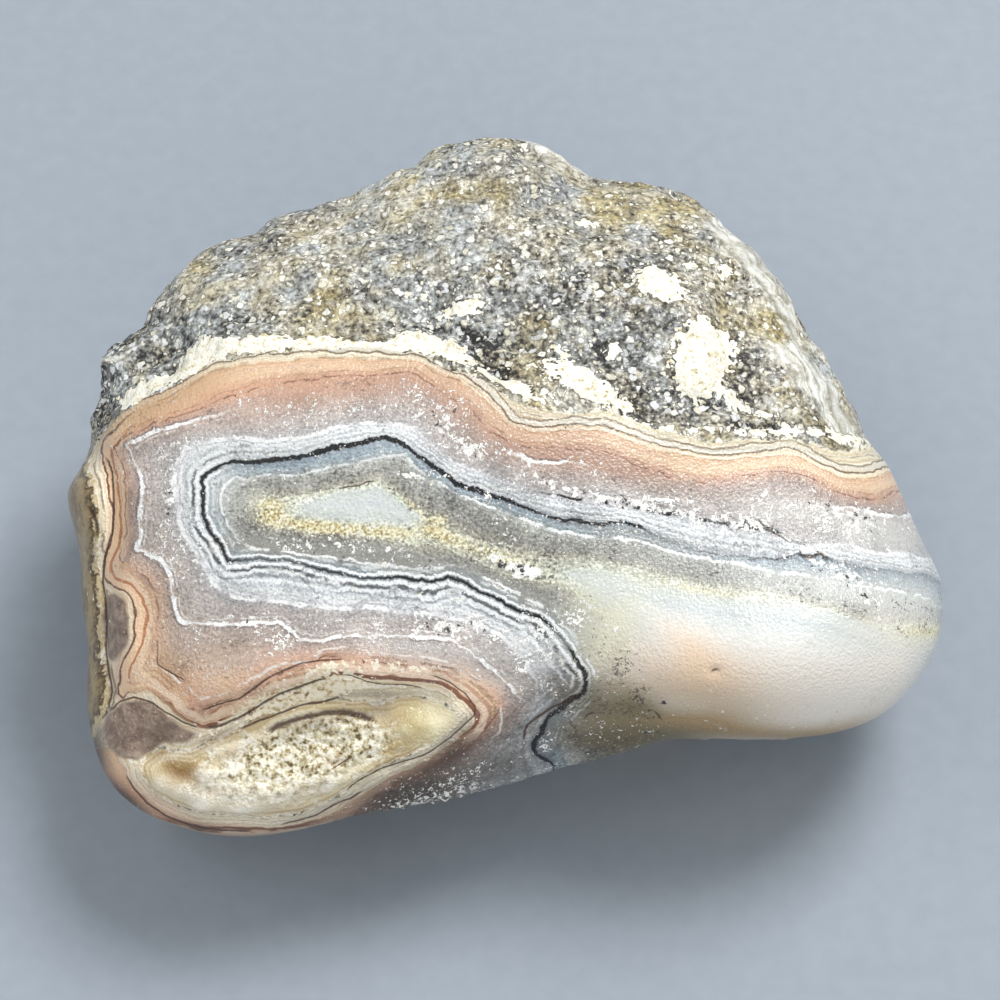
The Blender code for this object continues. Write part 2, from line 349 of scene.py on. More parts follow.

# %% [markdown]
# Iron, dirt and wear tint the stone in patches, whatever band they fall on. Some patches also paint light
# and shade: painted shade under the pocket's roof, along the bottom rim, over the brow and on the rind,
# painted light on the lower milky lobe, the loop's lip, the crease over the pocket and the right side, and
# painted highlights on the glassy upper edge and the pearls. Each kind of patch is a sum of soft hills, and
# goes to the material as one number for every point of the surface, 0 where there is none. A hill's row has
# its middle and its half sizes in picture pixels, its turn in degrees and its strength.

# %% Patches of colour and wear
PATCHES = {
    "peach": [
        (692, 648, 40, 20, -34, 0.6), (695, 678, 74, 24, -6, 0.8), (170, 398, 50, 12, 22, 0.5),
        (225, 685, 34, 16, -10, 0.7), (150, 640, 20, 40, 0, 0.4), (119, 525, 11, 75, 0, 0.7),
        (430, 678, 60, 9, -8, 0.6),
    ],
    "salmon": [
        (300, 388, 130, 14, 4, 0.8), (165, 408, 60, 16, 22, 0.9), (185, 690, 34, 14, -46, 0.8),
        (260, 678, 60, 12, 26, 0.5), (370, 664, 90, 11, -4, 0.45), (480, 690, 26, 12, -46, 0.3),
        (250, 414, 120, 14, 8, 0.35), (118, 672, 12, 40, 0, 0.7), (158, 815, 60, 16, -36, 1.0),
        (200, 832, 110, 11, -6, 1.0), (118, 796, 30, 12, -42, 0.7), (360, 810, 70, 10, 20, 0.9),
        (118, 540, 12, 70, 0, 0.3),
    ],
    # Partly the lobe's own cream colour and partly painted light on the lower milky lobe and the valley beside
    # it, which face away from the lamps.
    "ivory_light": [
        (760, 684, 130, 38, -6, 1.0), (860, 690, 60, 34, 12, 1.0), (675, 692, 50, 28, 0, 0.5),
        (640, 660, 20, 26, -10, 1.0), (900, 655, 40, 20, 20, 0.5), (880, 625, 40, 20, 0, 0.5),
    ],
    "moss": [
        (596, 640, 18, 36, -30, 1.0), (616, 632, 22, 46, -30, 1.1), (925, 636, 36, 12, 0, 0.8),
        (700, 588, 80, 7, -9, 0.6), (262, 505, 14, 14, 0, 0.5), (585, 600, 16, 24, -40, 0.7),
    ],
    "tan": [
        (690, 722, 80, 16, 4, 1.1), (700, 694, 64, 16, -4, 0.55), (780, 734, 110, 12, 0, 1.0),
        (856, 722, 46, 10, 14, 0.7), (215, 655, 48, 20, 0, 0.4), (630, 724, 40, 20, -10, 0.6),
        (620, 692, 40, 14, -10, 0.5), (120, 426, 40, 12, 24, 0.6), (180, 392, 60, 12, 24, 0.5),
        (150, 590, 30, 60, 0, 0.2), (168, 672, 26, 12, -40, 0.5),
    ],
    "stain": [
        (605, 714, 44, 18, -20, 0.9), (600, 742, 60, 14, -10, 0.9), (665, 738, 54, 10, 0, 0.9),
        (640, 708, 26, 13, -20, 0.9), (585, 692, 14, 20, 0, 0.4),
    ],
    # A dark grey tint low on the face, below the pocket and the bands.
    "low_dark_grey": [
        (450, 785, 90, 22, 12, 1.0), (515, 750, 40, 30, 20, 0.6), (560, 692, 20, 28, 20, 0.9),
        (530, 704, 26, 20, 40, 0.35), (390, 800, 50, 14, 20, 0.8), (455, 752, 30, 12, 30, 0.9),
        (610, 745, 50, 14, -4, 0.6),
    ],
    # Painted shade under the pocket's roof, beside the knob, along the left edge and along the bottom rim, which
    # faces down; partly a brown stain too.
    "umber_shade": [
        (430, 768, 56, 9, 24, 0.8), (92, 770, 12, 36, -16, 0.9), (120, 802, 46, 13, -42, 1.4),
        (190, 836, 66, 11, -8, 1.4), (280, 840, 60, 9, 12, 1.2), (345, 824, 40, 8, 18, 0.8),
        (92, 735, 10, 30, 0, 0.6), (380, 712, 12, 16, 0, 0.4), (84, 620, 6, 60, 0, 0.4),
        (305, 722, 80, 9, 8, 0.6), (215, 740, 28, 8, 20, 0.5), (464, 738, 14, 22, -30, 0.6),
        (350, 694, 90, 4, -2, 0.4),
    ],
    # The mauve hue, and painted shade over the brow, which faces the lamp.
    "rose_and_shade": [
        (345, 384, 130, 13, 0, 0.3), (455, 400, 34, 14, -40, 0.8), (560, 456, 70, 12, -8, 0.8),
        (640, 472, 60, 10, -12, 0.6), (850, 500, 60, 9, -6, 0.6), (135, 540, 9, 60, 0, 0.3),
        (160, 600, 12, 40, 0, 0.4), (500, 440, 60, 16, -30, 0.6), (600, 470, 90, 10, -8, 0.5),
        (520, 425, 110, 20, -20, 0.55), (600, 445, 60, 16, -10, 0.4),
    ],
    # A pale whitish tint: partly the stone's pale colour and partly painted light on the right side and on the
    # loop's lip, where relief shade falls.
    "veil_light": [
        (745, 575, 80, 16, -8, 0.6), (905, 606, 50, 16, 0, 0.5), (830, 590, 60, 18, -6, 0.6),
        (655, 555, 44, 12, 0, 0.4), (790, 500, 60, 12, -6, 0.5), (320, 444, 110, 8, 6, 0.5),
        (880, 535, 50, 16, -6, 0.9), (870, 590, 50, 20, -6, 0.6), (800, 512, 60, 10, -6, 0.5),
        (216, 480, 22, 44, 0, 0.8), (440, 648, 80, 10, -8, 0.6), (446, 670, 70, 14, -12, 0.8),
        (920, 600, 34, 40, 0, 0.5), (890, 518, 50, 12, -6, 0.5),
    ],
    "ash": [
        (300, 553, 100, 9, -4, 1.0), (430, 572, 70, 12, -10, 1.0), (530, 606, 46, 14, -36, 1.0),
        (582, 662, 9, 50, -20, 0.5), (590, 704, 24, 20, 0, 0.7), (640, 536, 80, 8, -10, 0.8),
        (660, 560, 60, 8, -10, 0.4), (224, 540, 10, 16, -30, 0.6), (250, 545, 20, 8, -20, 0.7),
    ],
    "gold": [
        (272, 510, 17, 14, 0, 0.75), (320, 527, 46, 7, -6, 0.8), (390, 533, 34, 8, -6, 0.6),
        (440, 534, 26, 8, -24, 0.65), (412, 506, 20, 4, -40, 0.5), (625, 652, 9, 34, -24, 0.3),
        (925, 632, 40, 8, 0, 0.5), (700, 588, 60, 5, -9, 0.4), (500, 556, 50, 10, -14, 0.45),
        (440, 520, 10, 6, 0, 0.5),
    ],
    "flecks": [
        (600, 492, 130, 14, -8, 0.5), (700, 512, 90, 12, -8, 0.5), (840, 575, 70, 26, -14, 0.7),
        (830, 520, 90, 24, -10, 0.7), (440, 430, 34, 26, -40, 0.8), (430, 625, 110, 16, 0, 0.8),
        (520, 655, 40, 30, -40, 0.6), (800, 515, 60, 20, -8, 0.7), (330, 412, 120, 14, 0, 0.7),
        (168, 500, 12, 60, 0, 0.8), (400, 476, 40, 12, 0, 0.7), (330, 546, 110, 8, -4, 0.8),
        (290, 500, 40, 20, 0, 0.4), (420, 795, 60, 14, 14, 0.8), (500, 770, 60, 16, 14, 0.8),
        (190, 444, 60, 14, 10, 0.7), (205, 580, 40, 22, -30, 0.8), (350, 655, 110, 8, 0, 0.6),
        (500, 450, 60, 10, -16, 0.6), (620, 470, 80, 8, -8, 0.6), (440, 690, 10, 40, -40, 0.5),
        (470, 575, 60, 8, -20, 0.6), (300, 635, 50, 14, 0, 0.7), (210, 640, 50, 16, 0, 0.4),
        (560, 640, 20, 40, -30, 0.6),
    ],
    "crumbs": [
        (545, 482, 24, 8, -16, 0.8), (590, 494, 36, 8, -8, 0.75), (630, 503, 36, 7, -8, 0.65),
        (680, 511, 46, 8, -6, 0.65), (748, 522, 30, 10, 0, 1.0), (802, 545, 30, 12, -20, 0.8),
        (838, 572, 40, 10, -20, 0.8), (862, 522, 44, 16, -12, 0.8), (800, 500, 50, 10, -8, 0.5),
        (505, 565, 26, 10, -16, 1.0), (530, 573, 16, 8, 0, 1.1), (444, 430, 28, 18, -40, 0.8),
        (474, 456, 22, 12, -30, 0.7), (866, 600, 22, 12, -50, 0.8), (450, 626, 56, 14, -10, 0.9),
        (580, 676, 8, 20, 0, 0.8), (405, 478, 22, 8, 0, 0.7), (170, 510, 8, 40, 0, 0.8),
        (190, 570, 14, 22, 30, 0.6), (430, 800, 60, 14, 14, 0.9), (380, 660, 60, 8, 0, 0.4),
        (345, 545, 70, 6, -4, 0.7), (240, 620, 50, 10, 0, 0.6), (340, 412, 60, 8, 0, 0.6),
        (460, 404, 14, 10, 0, 0.5),
    ],
    "specks": [
        (600, 500, 46, 12, -8, 1.0), (690, 516, 64, 12, -6, 1.0), (760, 526, 34, 12, 0, 1.1),
        (800, 552, 46, 12, 0, 1.0), (860, 568, 30, 12, -10, 0.8),
    ],
    "shell edge": [
        (178, 490, 14, 50, 0, 1.2), (240, 440, 90, 12, 8, 1.1), (210, 584, 30, 24, -40, 1.1),
        (330, 608, 110, 10, 0, 0.9), (500, 640, 40, 40, -40, 0.8), (360, 426, 60, 8, 0, 0.8),
        (880, 550, 60, 8, -8, 0.9),
    ],
    "pits": [
        (655, 706, 26, 22, -40, 0.85), (615, 715, 30, 20, 0, 0.4), (715, 672, 8, 6, 0, 1.0),
        (640, 735, 40, 10, 0, 0.8), (330, 742, 22, 10, 0, 1.0), (290, 770, 50, 16, 0, 0.5),
    ],
    "ochre": [
        (560, 245, 40, 16, 0, 0.5), (610, 205, 50, 20, -10, 0.8), (770, 315, 46, 26, -30, 0.9),
        (505, 318, 50, 10, 0, 0.7), (620, 405, 60, 18, -20, 0.6), (545, 258, 40, 26, 0, 0.4),
        (300, 298, 110, 10, 0, 0.5), (700, 290, 40, 20, 0, 0.7), (660, 205, 50, 14, -10, 0.9),
        (290, 240, 120, 50, 22, -0.35), (540, 190, 60, 30, 0, -0.3), (790, 395, 24, 20, -50, 0.8),
        (820, 420, 30, 8, -56, 0.6),
    ],
    "steel": [
        (600, 300, 70, 46, 0, 0.6), (636, 384, 46, 34, 0, 0.8), (190, 330, 90, 36, 20, 0.9),
        (470, 300, 60, 34, 0, 0.7), (720, 404, 70, 26, -10, 0.9), (400, 290, 60, 24, 0, 0.6),
        (560, 190, 30, 12, 0, 0.4), (110, 370, 40, 40, 0, 0.9), (545, 350, 30, 14, -20, 0.9),
        (500, 250, 120, 30, 0, 0.4), (815, 385, 20, 26, -50, 0.8), (662, 352, 14, 30, 0, 0.6),
    ],
    "coal": [
        (475, 336, 40, 8, -12, 1.0), (490, 358, 28, 12, -30, 1.0), (636, 404, 20, 14, -20, 0.7),
        (240, 318, 60, 5, 0, 0.4), (112, 330, 34, 12, 34, 0.9), (150, 350, 34, 7, 20, 0.8),
        (712, 404, 18, 7, 0, 1.2), (750, 396, 8, 12, -40, 0.9), (600, 348, 9, 24, 20, 0.6),
        (760, 424, 60, 5, -4, 0.7), (590, 285, 40, 20, 0, 0.3), (330, 312, 60, 5, 4, 0.2),
        (94, 400, 10, 40, 0, 1.0), (676, 372, 5, 26, -10, 0.7), (170, 365, 24, 5, 24, 0.7),
        (742, 350, 14, 30, 0, 0.6), (740, 268, 36, 20, 0, 0.3), (420, 322, 40, 5, 0, 0.5),
    ],
    # A smooth glassy skin: partly a pale layer and partly painted highlights along the upper right rim.
    "glass_highlight": [
        (760, 268, 56, 12, -52, 1.1), (808, 374, 34, 18, -56, 1.1), (838, 408, 30, 12, -60, 1.1),
        (556, 158, 44, 6, -28, 1.0), (490, 245, 26, 20, 0, 0.3), (725, 232, 40, 10, -40, 0.9),
        (850, 434, 30, 9, -60, 0.9), (788, 318, 24, 8, -56, 0.8), (104, 358, 40, 6, 20, 0.9),
        (780, 352, 14, 10, -30, 0.8), (655, 355, 22, 26, -50, 0.5),
    ],
    "chalk": [
        (708, 348, 31, 29, 0, 1.9), (698, 376, 21, 24, 0, 1.5), (660, 283, 26, 16, -25, 1.8),
        (206, 349, 32, 14, 10, 1.2), (238, 332, 14, 7, 0, -0.5), (262, 345, 34, 10, 4, 1.1),
        (315, 342, 34, 9, 0, 1.0), (454, 355, 24, 11, -28, 1.15), (462, 306, 28, 10, 14, 1.25),
        (422, 341, 30, 12, -8, 1.15), (560, 350, 20, 9, -30, 0.5), (572, 378, 40, 17, -20, 1.15),
        (600, 390, 24, 11, -30, 0.9), (614, 350, 9, 11, 0, 1.3), (628, 404, 14, 7, -30, 0.7),
        (728, 266, 9, 9, 0, 1.25), (693, 262, 7, 6, 0, 1.1), (150, 384, 38, 11, 26, 1.3),
        (190, 368, 24, 8, 20, 1.3), (738, 396, 11, 13, 20, 1.1), (585, 222, 14, 5, 0, 0.9),
        (700, 428, 44, 6, 0, 0.75), (370, 347, 60, 7, 0, 1.05), (775, 431, 44, 6, 0, 0.85),
        (845, 440, 36, 9, -20, 1.05), (520, 390, 34, 9, -30, 1.0), (492, 376, 16, 7, -30, 0.7),
        (640, 420, 30, 5, -14, 0.7), (105, 360, 10, 4, 0, 1.0), (155, 300, 16, 5, 20, 0.9),
        (128, 398, 12, 8, 30, 0.9), (770, 412, 30, 7, -30, 0.8),
    ],
    "dust": [
        (350, 290, 60, 34, 10, 1.1), (200, 300, 50, 20, 26, 0.8), (655, 215, 50, 18, -10, 1.2),
        (692, 212, 36, 20, -20, 0.8), (480, 190, 50, 20, 0, 1.0), (540, 345, 30, 10, -20, 0.6),
        (725, 290, 40, 30, -50, 0.9), (765, 330, 22, 30, -30, 0.9), (775, 410, 50, 10, -10, 0.8),
        (125, 370, 24, 30, 0, 0.6), (682, 372, 8, 20, 0, 0.6), (330, 230, 50, 26, 20, 0.6),
        (400, 200, 90, 50, 20, 0.7), (620, 225, 26, 20, 0, 0.7), (700, 220, 26, 24, 0, 0.6),
        (745, 300, 50, 34, -50, 0.6), (828, 362, 26, 50, -30, 0.9), (200, 322, 24, 26, 0, 0.8),
        (335, 315, 44, 12, 0, 0.8), (545, 375, 14, 10, 0, 0.7),
    ],
    # Painted shade that darkens the rind in broad patches and beside the bands.
    "rind_shade": [
        (560, 280, 80, 50, 0, 0.8), (470, 260, 50, 50, 0, 0.5), (640, 330, 50, 50, 0, 1.0),
        (510, 340, 40, 20, -10, 0.7), (740, 400, 50, 24, -10, 0.5), (250, 315, 50, 14, 10, 0.6),
        (420, 305, 30, 12, 0, 0.4), (700, 300, 24, 20, 0, 0.3), (240, 335, 26, 9, 0, 0.7),
        (490, 368, 20, 10, 0, 0.7), (555, 350, 16, 10, 0, 0.6), (606, 395, 18, 10, 0, 0.7),
        (710, 396, 22, 9, 0, 0.7), (780, 430, 26, 6, 0, 0.7),
    ],
    "ink": [
        (330, 452, 130, 20, 8, 1.1), (470, 488, 60, 16, -24, 1.1), (205, 500, 12, 34, 0, 0.6),
        (222, 545, 16, 22, 0, 0.5), (600, 524, 70, 8, 0, 0.5), (330, 572, 120, 12, -6, 0.3),
        (450, 585, 70, 14, -16, 0.35), (530, 612, 40, 14, -24, 0.45), (580, 674, 12, 26, 0, 1.2),
        (542, 748, 14, 30, 0, 0.8), (562, 712, 26, 10, 36, 0.6), (805, 556, 40, 7, 0, 0.4),
    ],
    "thread": [
        (620, 545, 120, 20, -8, 1.0), (800, 575, 110, 16, -8, 1.1), (330, 470, 140, 14, 6, 0.3),
        (225, 510, 12, 40, 0, 0.3), (480, 510, 70, 16, -24, 0.5), (330, 556, 110, 9, -6, 0.4),
        (500, 590, 60, 16, -30, 0.7), (590, 660, 16, 50, -20, 0.6),
    ],
    "twin": [
        (210, 520, 18, 50, 0, 1.0), (300, 570, 90, 18, -4, 1.0), (440, 588, 90, 24, -14, 1.0),
        (550, 640, 40, 44, -40, 0.9),
    ],
    "frost": [
        (160, 470, 40, 50, 0, 0.8), (150, 530, 30, 30, 0, 0.9), (172, 590, 16, 40, 0, 0.9),
        (230, 625, 60, 10, 0, 1.0), (400, 636, 90, 8, 0, 0.7), (165, 432, 50, 8, 10, 0.9),
        (880, 512, 50, 8, 0, 0.8), (535, 461, 36, 6, 0, 0.7), (485, 664, 34, 16, -40, 0.8),
    ],
    "loop": [
        (482, 704, 34, 26, 0, 1.0), (340, 668, 130, 18, 2, 0.9), (190, 700, 40, 16, -40, 0.9),
        (250, 828, 120, 12, 0, 0.4), (420, 684, 60, 16, -10, 0.8),
    ],
    "flank": [
        (112, 510, 20, 70, 0, 1.0), (110, 575, 20, 30, 0, 0.9), (136, 620, 16, 40, 0, 0.9),
        (112, 680, 12, 26, 0, 0.8),
    ],
    "seams": [
        (170, 392, 60, 14, 24, 0.6), (320, 355, 120, 10, 0, 0.5), (460, 385, 60, 16, -32, 0.9),
        (560, 422, 90, 14, 0, 1.0), (700, 446, 110, 14, -6, 1.0), (850, 462, 60, 16, 0, 0.9),
    ],
    "knob": [(425, 724, 44, 26, 14, 1.4), (455, 700, 24, 12, -30, 0.5)],
    "druse": [
        (300, 756, 84, 30, 8, 1.4), (345, 732, 40, 16, 0, 1.1), (250, 790, 60, 16, 0, 0.7),
    ],
    # Cream chips on the pocket's roof, painted pale, partly to lift the shade in the crease over the pocket.
    "flake_light": [
        (300, 694, 50, 11, 14, 1.2), (258, 706, 20, 8, 26, 0.9), (340, 684, 26, 10, 0, 0.8),
        (326, 668, 20, 6, 8, 0.7), (398, 668, 46, 5, -4, 0.6), (230, 722, 30, 5, 26, 0.6),
    ],
    "honey": [
        (178, 772, 13, 8, 0, 1.1), (214, 792, 12, 5, 0, 0.7), (388, 718, 12, 10, 0, 0.3),
        (310, 790, 24, 8, 10, 0.4), (335, 760, 16, 8, 0, 0.4), (150, 800, 20, 6, -30, 0.4),
        (262, 716, 20, 4, 26, 0.6), (160, 752, 20, 5, 20, 0.5), (235, 752, 24, 6, 24, 0.4),
    ],
    # Small smooth swellings, painted near white as highlights.
    "pearl_highlight": [
        (208, 775, 11, 8, 0, 1.1), (203, 803, 13, 8, 0, 1.1), (160, 783, 10, 9, 0, 0.7),
        (242, 808, 22, 6, 0, 0.9), (230, 748, 20, 6, 10, 0.5), (182, 792, 14, 8, 0, 0.7),
        (180, 752, 24, 4, 16, 0.7), (250, 796, 60, 12, -4, 0.6), (330, 782, 30, 8, 16, 0.4),
    ],
}

front = smooth_step(directions[:, 2], *FRONT_EASE)
patches = {
    name: front * sum(
        strength * hill(seen_px, (x, y), (long, short), turn) for x, y, long, short, turn, strength in hills
    )
    for name, hills in PATCHES.items()
}
print("patches:", ", ".join(patches))

# %% [markdown]
# The rind under and behind the stone has pale grains of its own, which no list needs to place: seeded
# random spots on the surface, each a hill in space that is as wide as it is long.

# %% Pale spots on the back
SPOT_COUNT = 16
SPOT_SIZES_MM = (0.9, 2.4)
SPOT_STRENGTH = 1.5
BACK_STARTS = -0.25


def back_spots(points, directions):
    """The highest of all spots at each point: strength e^-(d/r)^2 at distance d from a spot of radius r."""
    random = np.random.default_rng(31)
    behind = np.flatnonzero(directions[:, 2] < BACK_STARTS)
    middles = points[random.choice(behind, SPOT_COUNT, replace=False)]
    radii = random.uniform(*SPOT_SIZES_MM, SPOT_COUNT)
    highest = np.zeros(len(points))
    for middle, radius in zip(middles, radii):
        apart = np.linalg.norm(points - middle, axis=1)
        highest = np.maximum(highest, SPOT_STRENGTH * np.exp(-((apart / radius) ** 2)))
    return highest


patches["chalk"] = np.maximum(patches["chalk"], back_spots(face_points, directions))

# %% [markdown]
# Cracks and sharp folds are drawn too. A line thinner than the mesh needs two numbers: a distance
# that is negative on one side, which stays straight between points and so keeps the line's middle sharp,
# and a mask that is 1 along the line and fades at its ends. Cracks that run close together are in
# different groups.

# %% Cracks
MASK_PX = (4, 7)
END_PX = 6
CUT_SLOPE_PX = 1.5
FAR_SIDE = 9.0
CRACKS = [
    {
        "pocket shadow": ([(266, 733), (276, 726), (290, 720), (306, 716), (325, 712), (345, 711), (362, 714),
                           (374, 719)], 3.0, 0.45),
        "long fold": ([(204, 729), (222, 725), (245, 715), (262, 704), (280, 695), (296, 690), (314, 684),
                       (328, 679)], 1.3, 0.25),
        "left crease": ([(104, 455), (110, 470), (112, 490), (113, 512), (112, 532), (106, 550), (102, 566),
                         (101, 582), (104, 600), (104, 625), (102, 650), (105, 672), (108, 692), (104, 708),
                         (99, 722)], 1.1, 0.2),
        "mauve edge": ([(106, 712), (116, 701), (130, 697), (148, 702), (164, 713), (182, 724),
                        (200, 729)], 1.0, 0.1),
        "lower fold": ([(345, 792), (360, 781), (378, 771), (400, 764), (424, 757), (444, 746), (462, 731),
                        (476, 717), (477, 708), (466, 694), (450, 684), (430, 677)], 0.8, 0.12),
        "yellow crack": ([(155, 655), (155, 663), (166, 671), (176, 676), (186, 681)], 0.8, 0.1),
        "lobe nick": ([(709, 673), (715, 670), (721, 669)], 1.4, 0.1),
        "nick in tan": ([(652, 712), (658, 717), (663, 724)], 1.0, 0.1),
        "dark fold": ([(524, 744), (530, 730), (540, 720), (552, 713), (566, 706), (580, 696)], 1.3, 0.2),
        "over the eye": ([(336, 490), (348, 487), (360, 486), (368, 482), (378, 482)], 0.8, 0.05),
        "strip crack": ([(88, 505), (93, 515), (97, 528), (96, 540)], 2.2, 0.15),
    },
    {
        "pocket roof": ([(238, 729), (256, 721), (272, 716), (288, 710), (302, 705), (320, 702),
                         (343, 698)], 1.0, 0.3),
        "roof of the loop": ([(200, 711), (210, 708), (222, 703), (240, 698), (254, 688), (268, 678),
                              (284, 670), (302, 663), (322, 660), (345, 659)], 0.9, 0.15),
        "right fold": ([(340, 675), (352, 677), (368, 684), (384, 687), (404, 688), (424, 692)], 0.7, 0.15),
        "rim line": ([(124, 775), (132, 790), (146, 805), (166, 818), (190, 827), (220, 832),
                      (250, 834)], 0.9, 0.08),
        "roll fold": ([(280, 826), (300, 821), (318, 815), (334, 805), (350, 800), (364, 790)], 0.9, 0.1),
        "druse crack": ([(330, 770), (340, 764), (352, 756)], 0.8, 0.1),
        "nick": ([(632, 702), (637, 698), (641, 695)], 1.4, 0.1),
        "nick at left": ([(583, 722), (590, 717), (598, 715)], 1.0, 0.1),
        "crack across": ([(758, 515), (770, 527), (782, 533), (793, 541)], 0.8, 0.1),
        "short black": ([(802, 553), (812, 556), (822, 552), (830, 557)], 1.5, 0.1),
    },
]


def crack_numbers(points_px, cracks):
    """Signed distance in half widths to the nearest crack, its mask, and the depth that all of them cut.

    A point's side of a span is the sign of their cross product. The mask is 1 up to the first of MASK_PX from
    the line and 0 beyond the second, and fades over the last END_PX before an end.
    """
    side = np.full(len(points_px), FAR_SIDE)
    mask = np.zeros(len(points_px))
    nearest = np.full(len(points_px), np.inf)
    cut = np.zeros(len(points_px))
    for curve_px, half_width, depth in cracks.values():
        corners = np.array(curve_px, float)
        spans = np.diff(corners, axis=0)
        passed = np.concatenate([[0], np.cumsum(np.hypot(*spans.T))])
        here = np.full(len(points_px), np.inf)
        sign = np.ones(len(points_px))
        along = np.zeros(len(points_px))
        for n, (start, span) in enumerate(zip(corners, spans)):
            offset = points_px - start
            share = np.clip(offset @ span / (span @ span), 0, 1)
            distance = np.hypot(*(offset - share[:, None] * span).T)
            closer = distance < here
            here = np.where(closer, distance, here)
            sign = np.where(closer, np.sign(span[0] * offset[:, 1] - span[1] * offset[:, 0]), sign)
            along = np.where(closer, passed[n] + share * np.hypot(*span), along)
        to_end = np.minimum(along, passed[-1] - along)
        line_mask = smooth_step(to_end, 0, END_PX) * (1 - smooth_step(here, *MASK_PX))
        closer = here < nearest
        nearest = np.where(closer, here, nearest)
        side = np.where(closer, sign * here / half_width, side)
        mask = np.where(closer, line_mask, mask)
        cut += depth * smooth_step(to_end, 0, END_PX) * np.exp(-((here / (half_width + CUT_SLOPE_PX)) ** 2))
    return side, mask, cut


sides, masks, cuts = zip(*[crack_numbers(seen_px, group) for group in CRACKS])
print(sum(len(group) for group in CRACKS), "cracks, up to", round(float(np.max(cuts)), 2), "mm deep")

# %% [markdown]
# Patches that differ in hardness also differ in height. Chalky crumbs stand a little proud, the dark
# seams are sunk, and sugary druse is rough. The pocket's lower end has pearls: small round swellings of
# smooth quartz.

# %% Fine relief
PATCH_HEIGHTS_MM = {"chalk": 0.12, "coal": -0.45, "pearl_highlight": 0.35, "honey": -0.15, "glass_highlight": 0.08, "pits": -0.1}
ROUGH_PATCHES_MM = {"druse": 0.3, "crumbs": 0.2, "chalk": 0.1, "coal": 0.35, "low_dark_grey": 0.2}
ROUGH_LAYERS = ((0.75, 0.7), (0.375, 0.5))
HOLE_SIZE_MM = 2.2
HOLE_EDGE = (0.3, 0.75)
HOLE_DEPTH_MM = 0.45


def fine_relief(points):
    """Every patch times its height, every rough patch times small noise, and round holes in the rind."""
    small = random_lumps(points, ROUGH_LAYERS, seed=41)
    relief = sum(height * np.minimum(patches[name], 1) for name, height in PATCH_HEIGHTS_MM.items())
    relief += small * sum(height * np.minimum(patches[name], 1) for name, height in ROUGH_PATCHES_MM.items())
    holes = smooth_step(smooth_noise(points, HOLE_SIZE_MM, seed=45), *HOLE_EDGE)
    return relief - HOLE_DEPTH_MM * rind * holes


relief = fine_relief(face_points)
stone_points = face_points + normals * (lumps + grains + relief - front * sum(cuts))[:, None]
print("fine relief from", round(relief.min(), 2), "to", round(relief.max(), 2), "mm")

# %% [markdown]
# Clouds of colour are wider than the mesh's cells. So their noise is worked out here once for every
# point, which renders faster than noise nodes do. Finer grain than the mesh can carry is left to the
# nodes.

# %% Clouds
CLOUD_SIZES_MM = {"broad": 3.2, "hue": 2.4, "mottle": 2.2, "clump": 1.6, "gaps": 0.8}
CLOUD_CONTRAST = 0.25


def cloud(points, size, seed):
    """0.5 plus the contrast times three noises, each half as wide as the last and 0.6 as strong."""
    return 0.5 + CLOUD_CONTRAST * random_lumps(points, [(size / 2**n, 0.6**n) for n in range(3)], seed)


clouds = {name: cloud(face_points, size, 51 + 3 * n) for n, (name, size) in enumerate(CLOUD_SIZES_MM.items())}
print("clouds:", ", ".join(clouds))

# %% [markdown]
# The last steps of the form: the face frame is turned down onto the ground, and what would lie under the
# ground is worn to a flat, as a stone that has slid along a river bed is.

# %% On the ground
def to_ground(points):
    """Turned down by the eye's elevation e: back = y sin e - z cos e, height = y cos e + z sin e."""
    elevation = math.radians(EYE_ELEVATION_DEG)
    right, up, out = points.T
    back = up * math.sin(elevation) - out * math.cos(elevation)
    height = up * math.cos(elevation) + out * math.sin(elevation)
    return np.column_stack([right, back, height]) + (*CENTRE_SHIFT_MM, BASE_DROP_MM)


def worn_flat(points):
    """Heights below r ease into the flat along (height + r)^2 / 4r, and stay 0 below -r."""
    height = points[:, 2]
    eased = (height + BASE_ROUNDING_MM) ** 2 / (4 * BASE_ROUNDING_MM)
    flat = np.where(height < BASE_ROUNDING_MM, eased, height)
    flat = np.where(height < -BASE_ROUNDING_MM, 0, flat)
    return np.column_stack([points[:, :2], flat])


ground_points = worn_flat(to_ground(stone_points))
print("stone's box:", ground_points.min(axis=0).round(2), ground_points.max(axis=0).round(2), "mm")
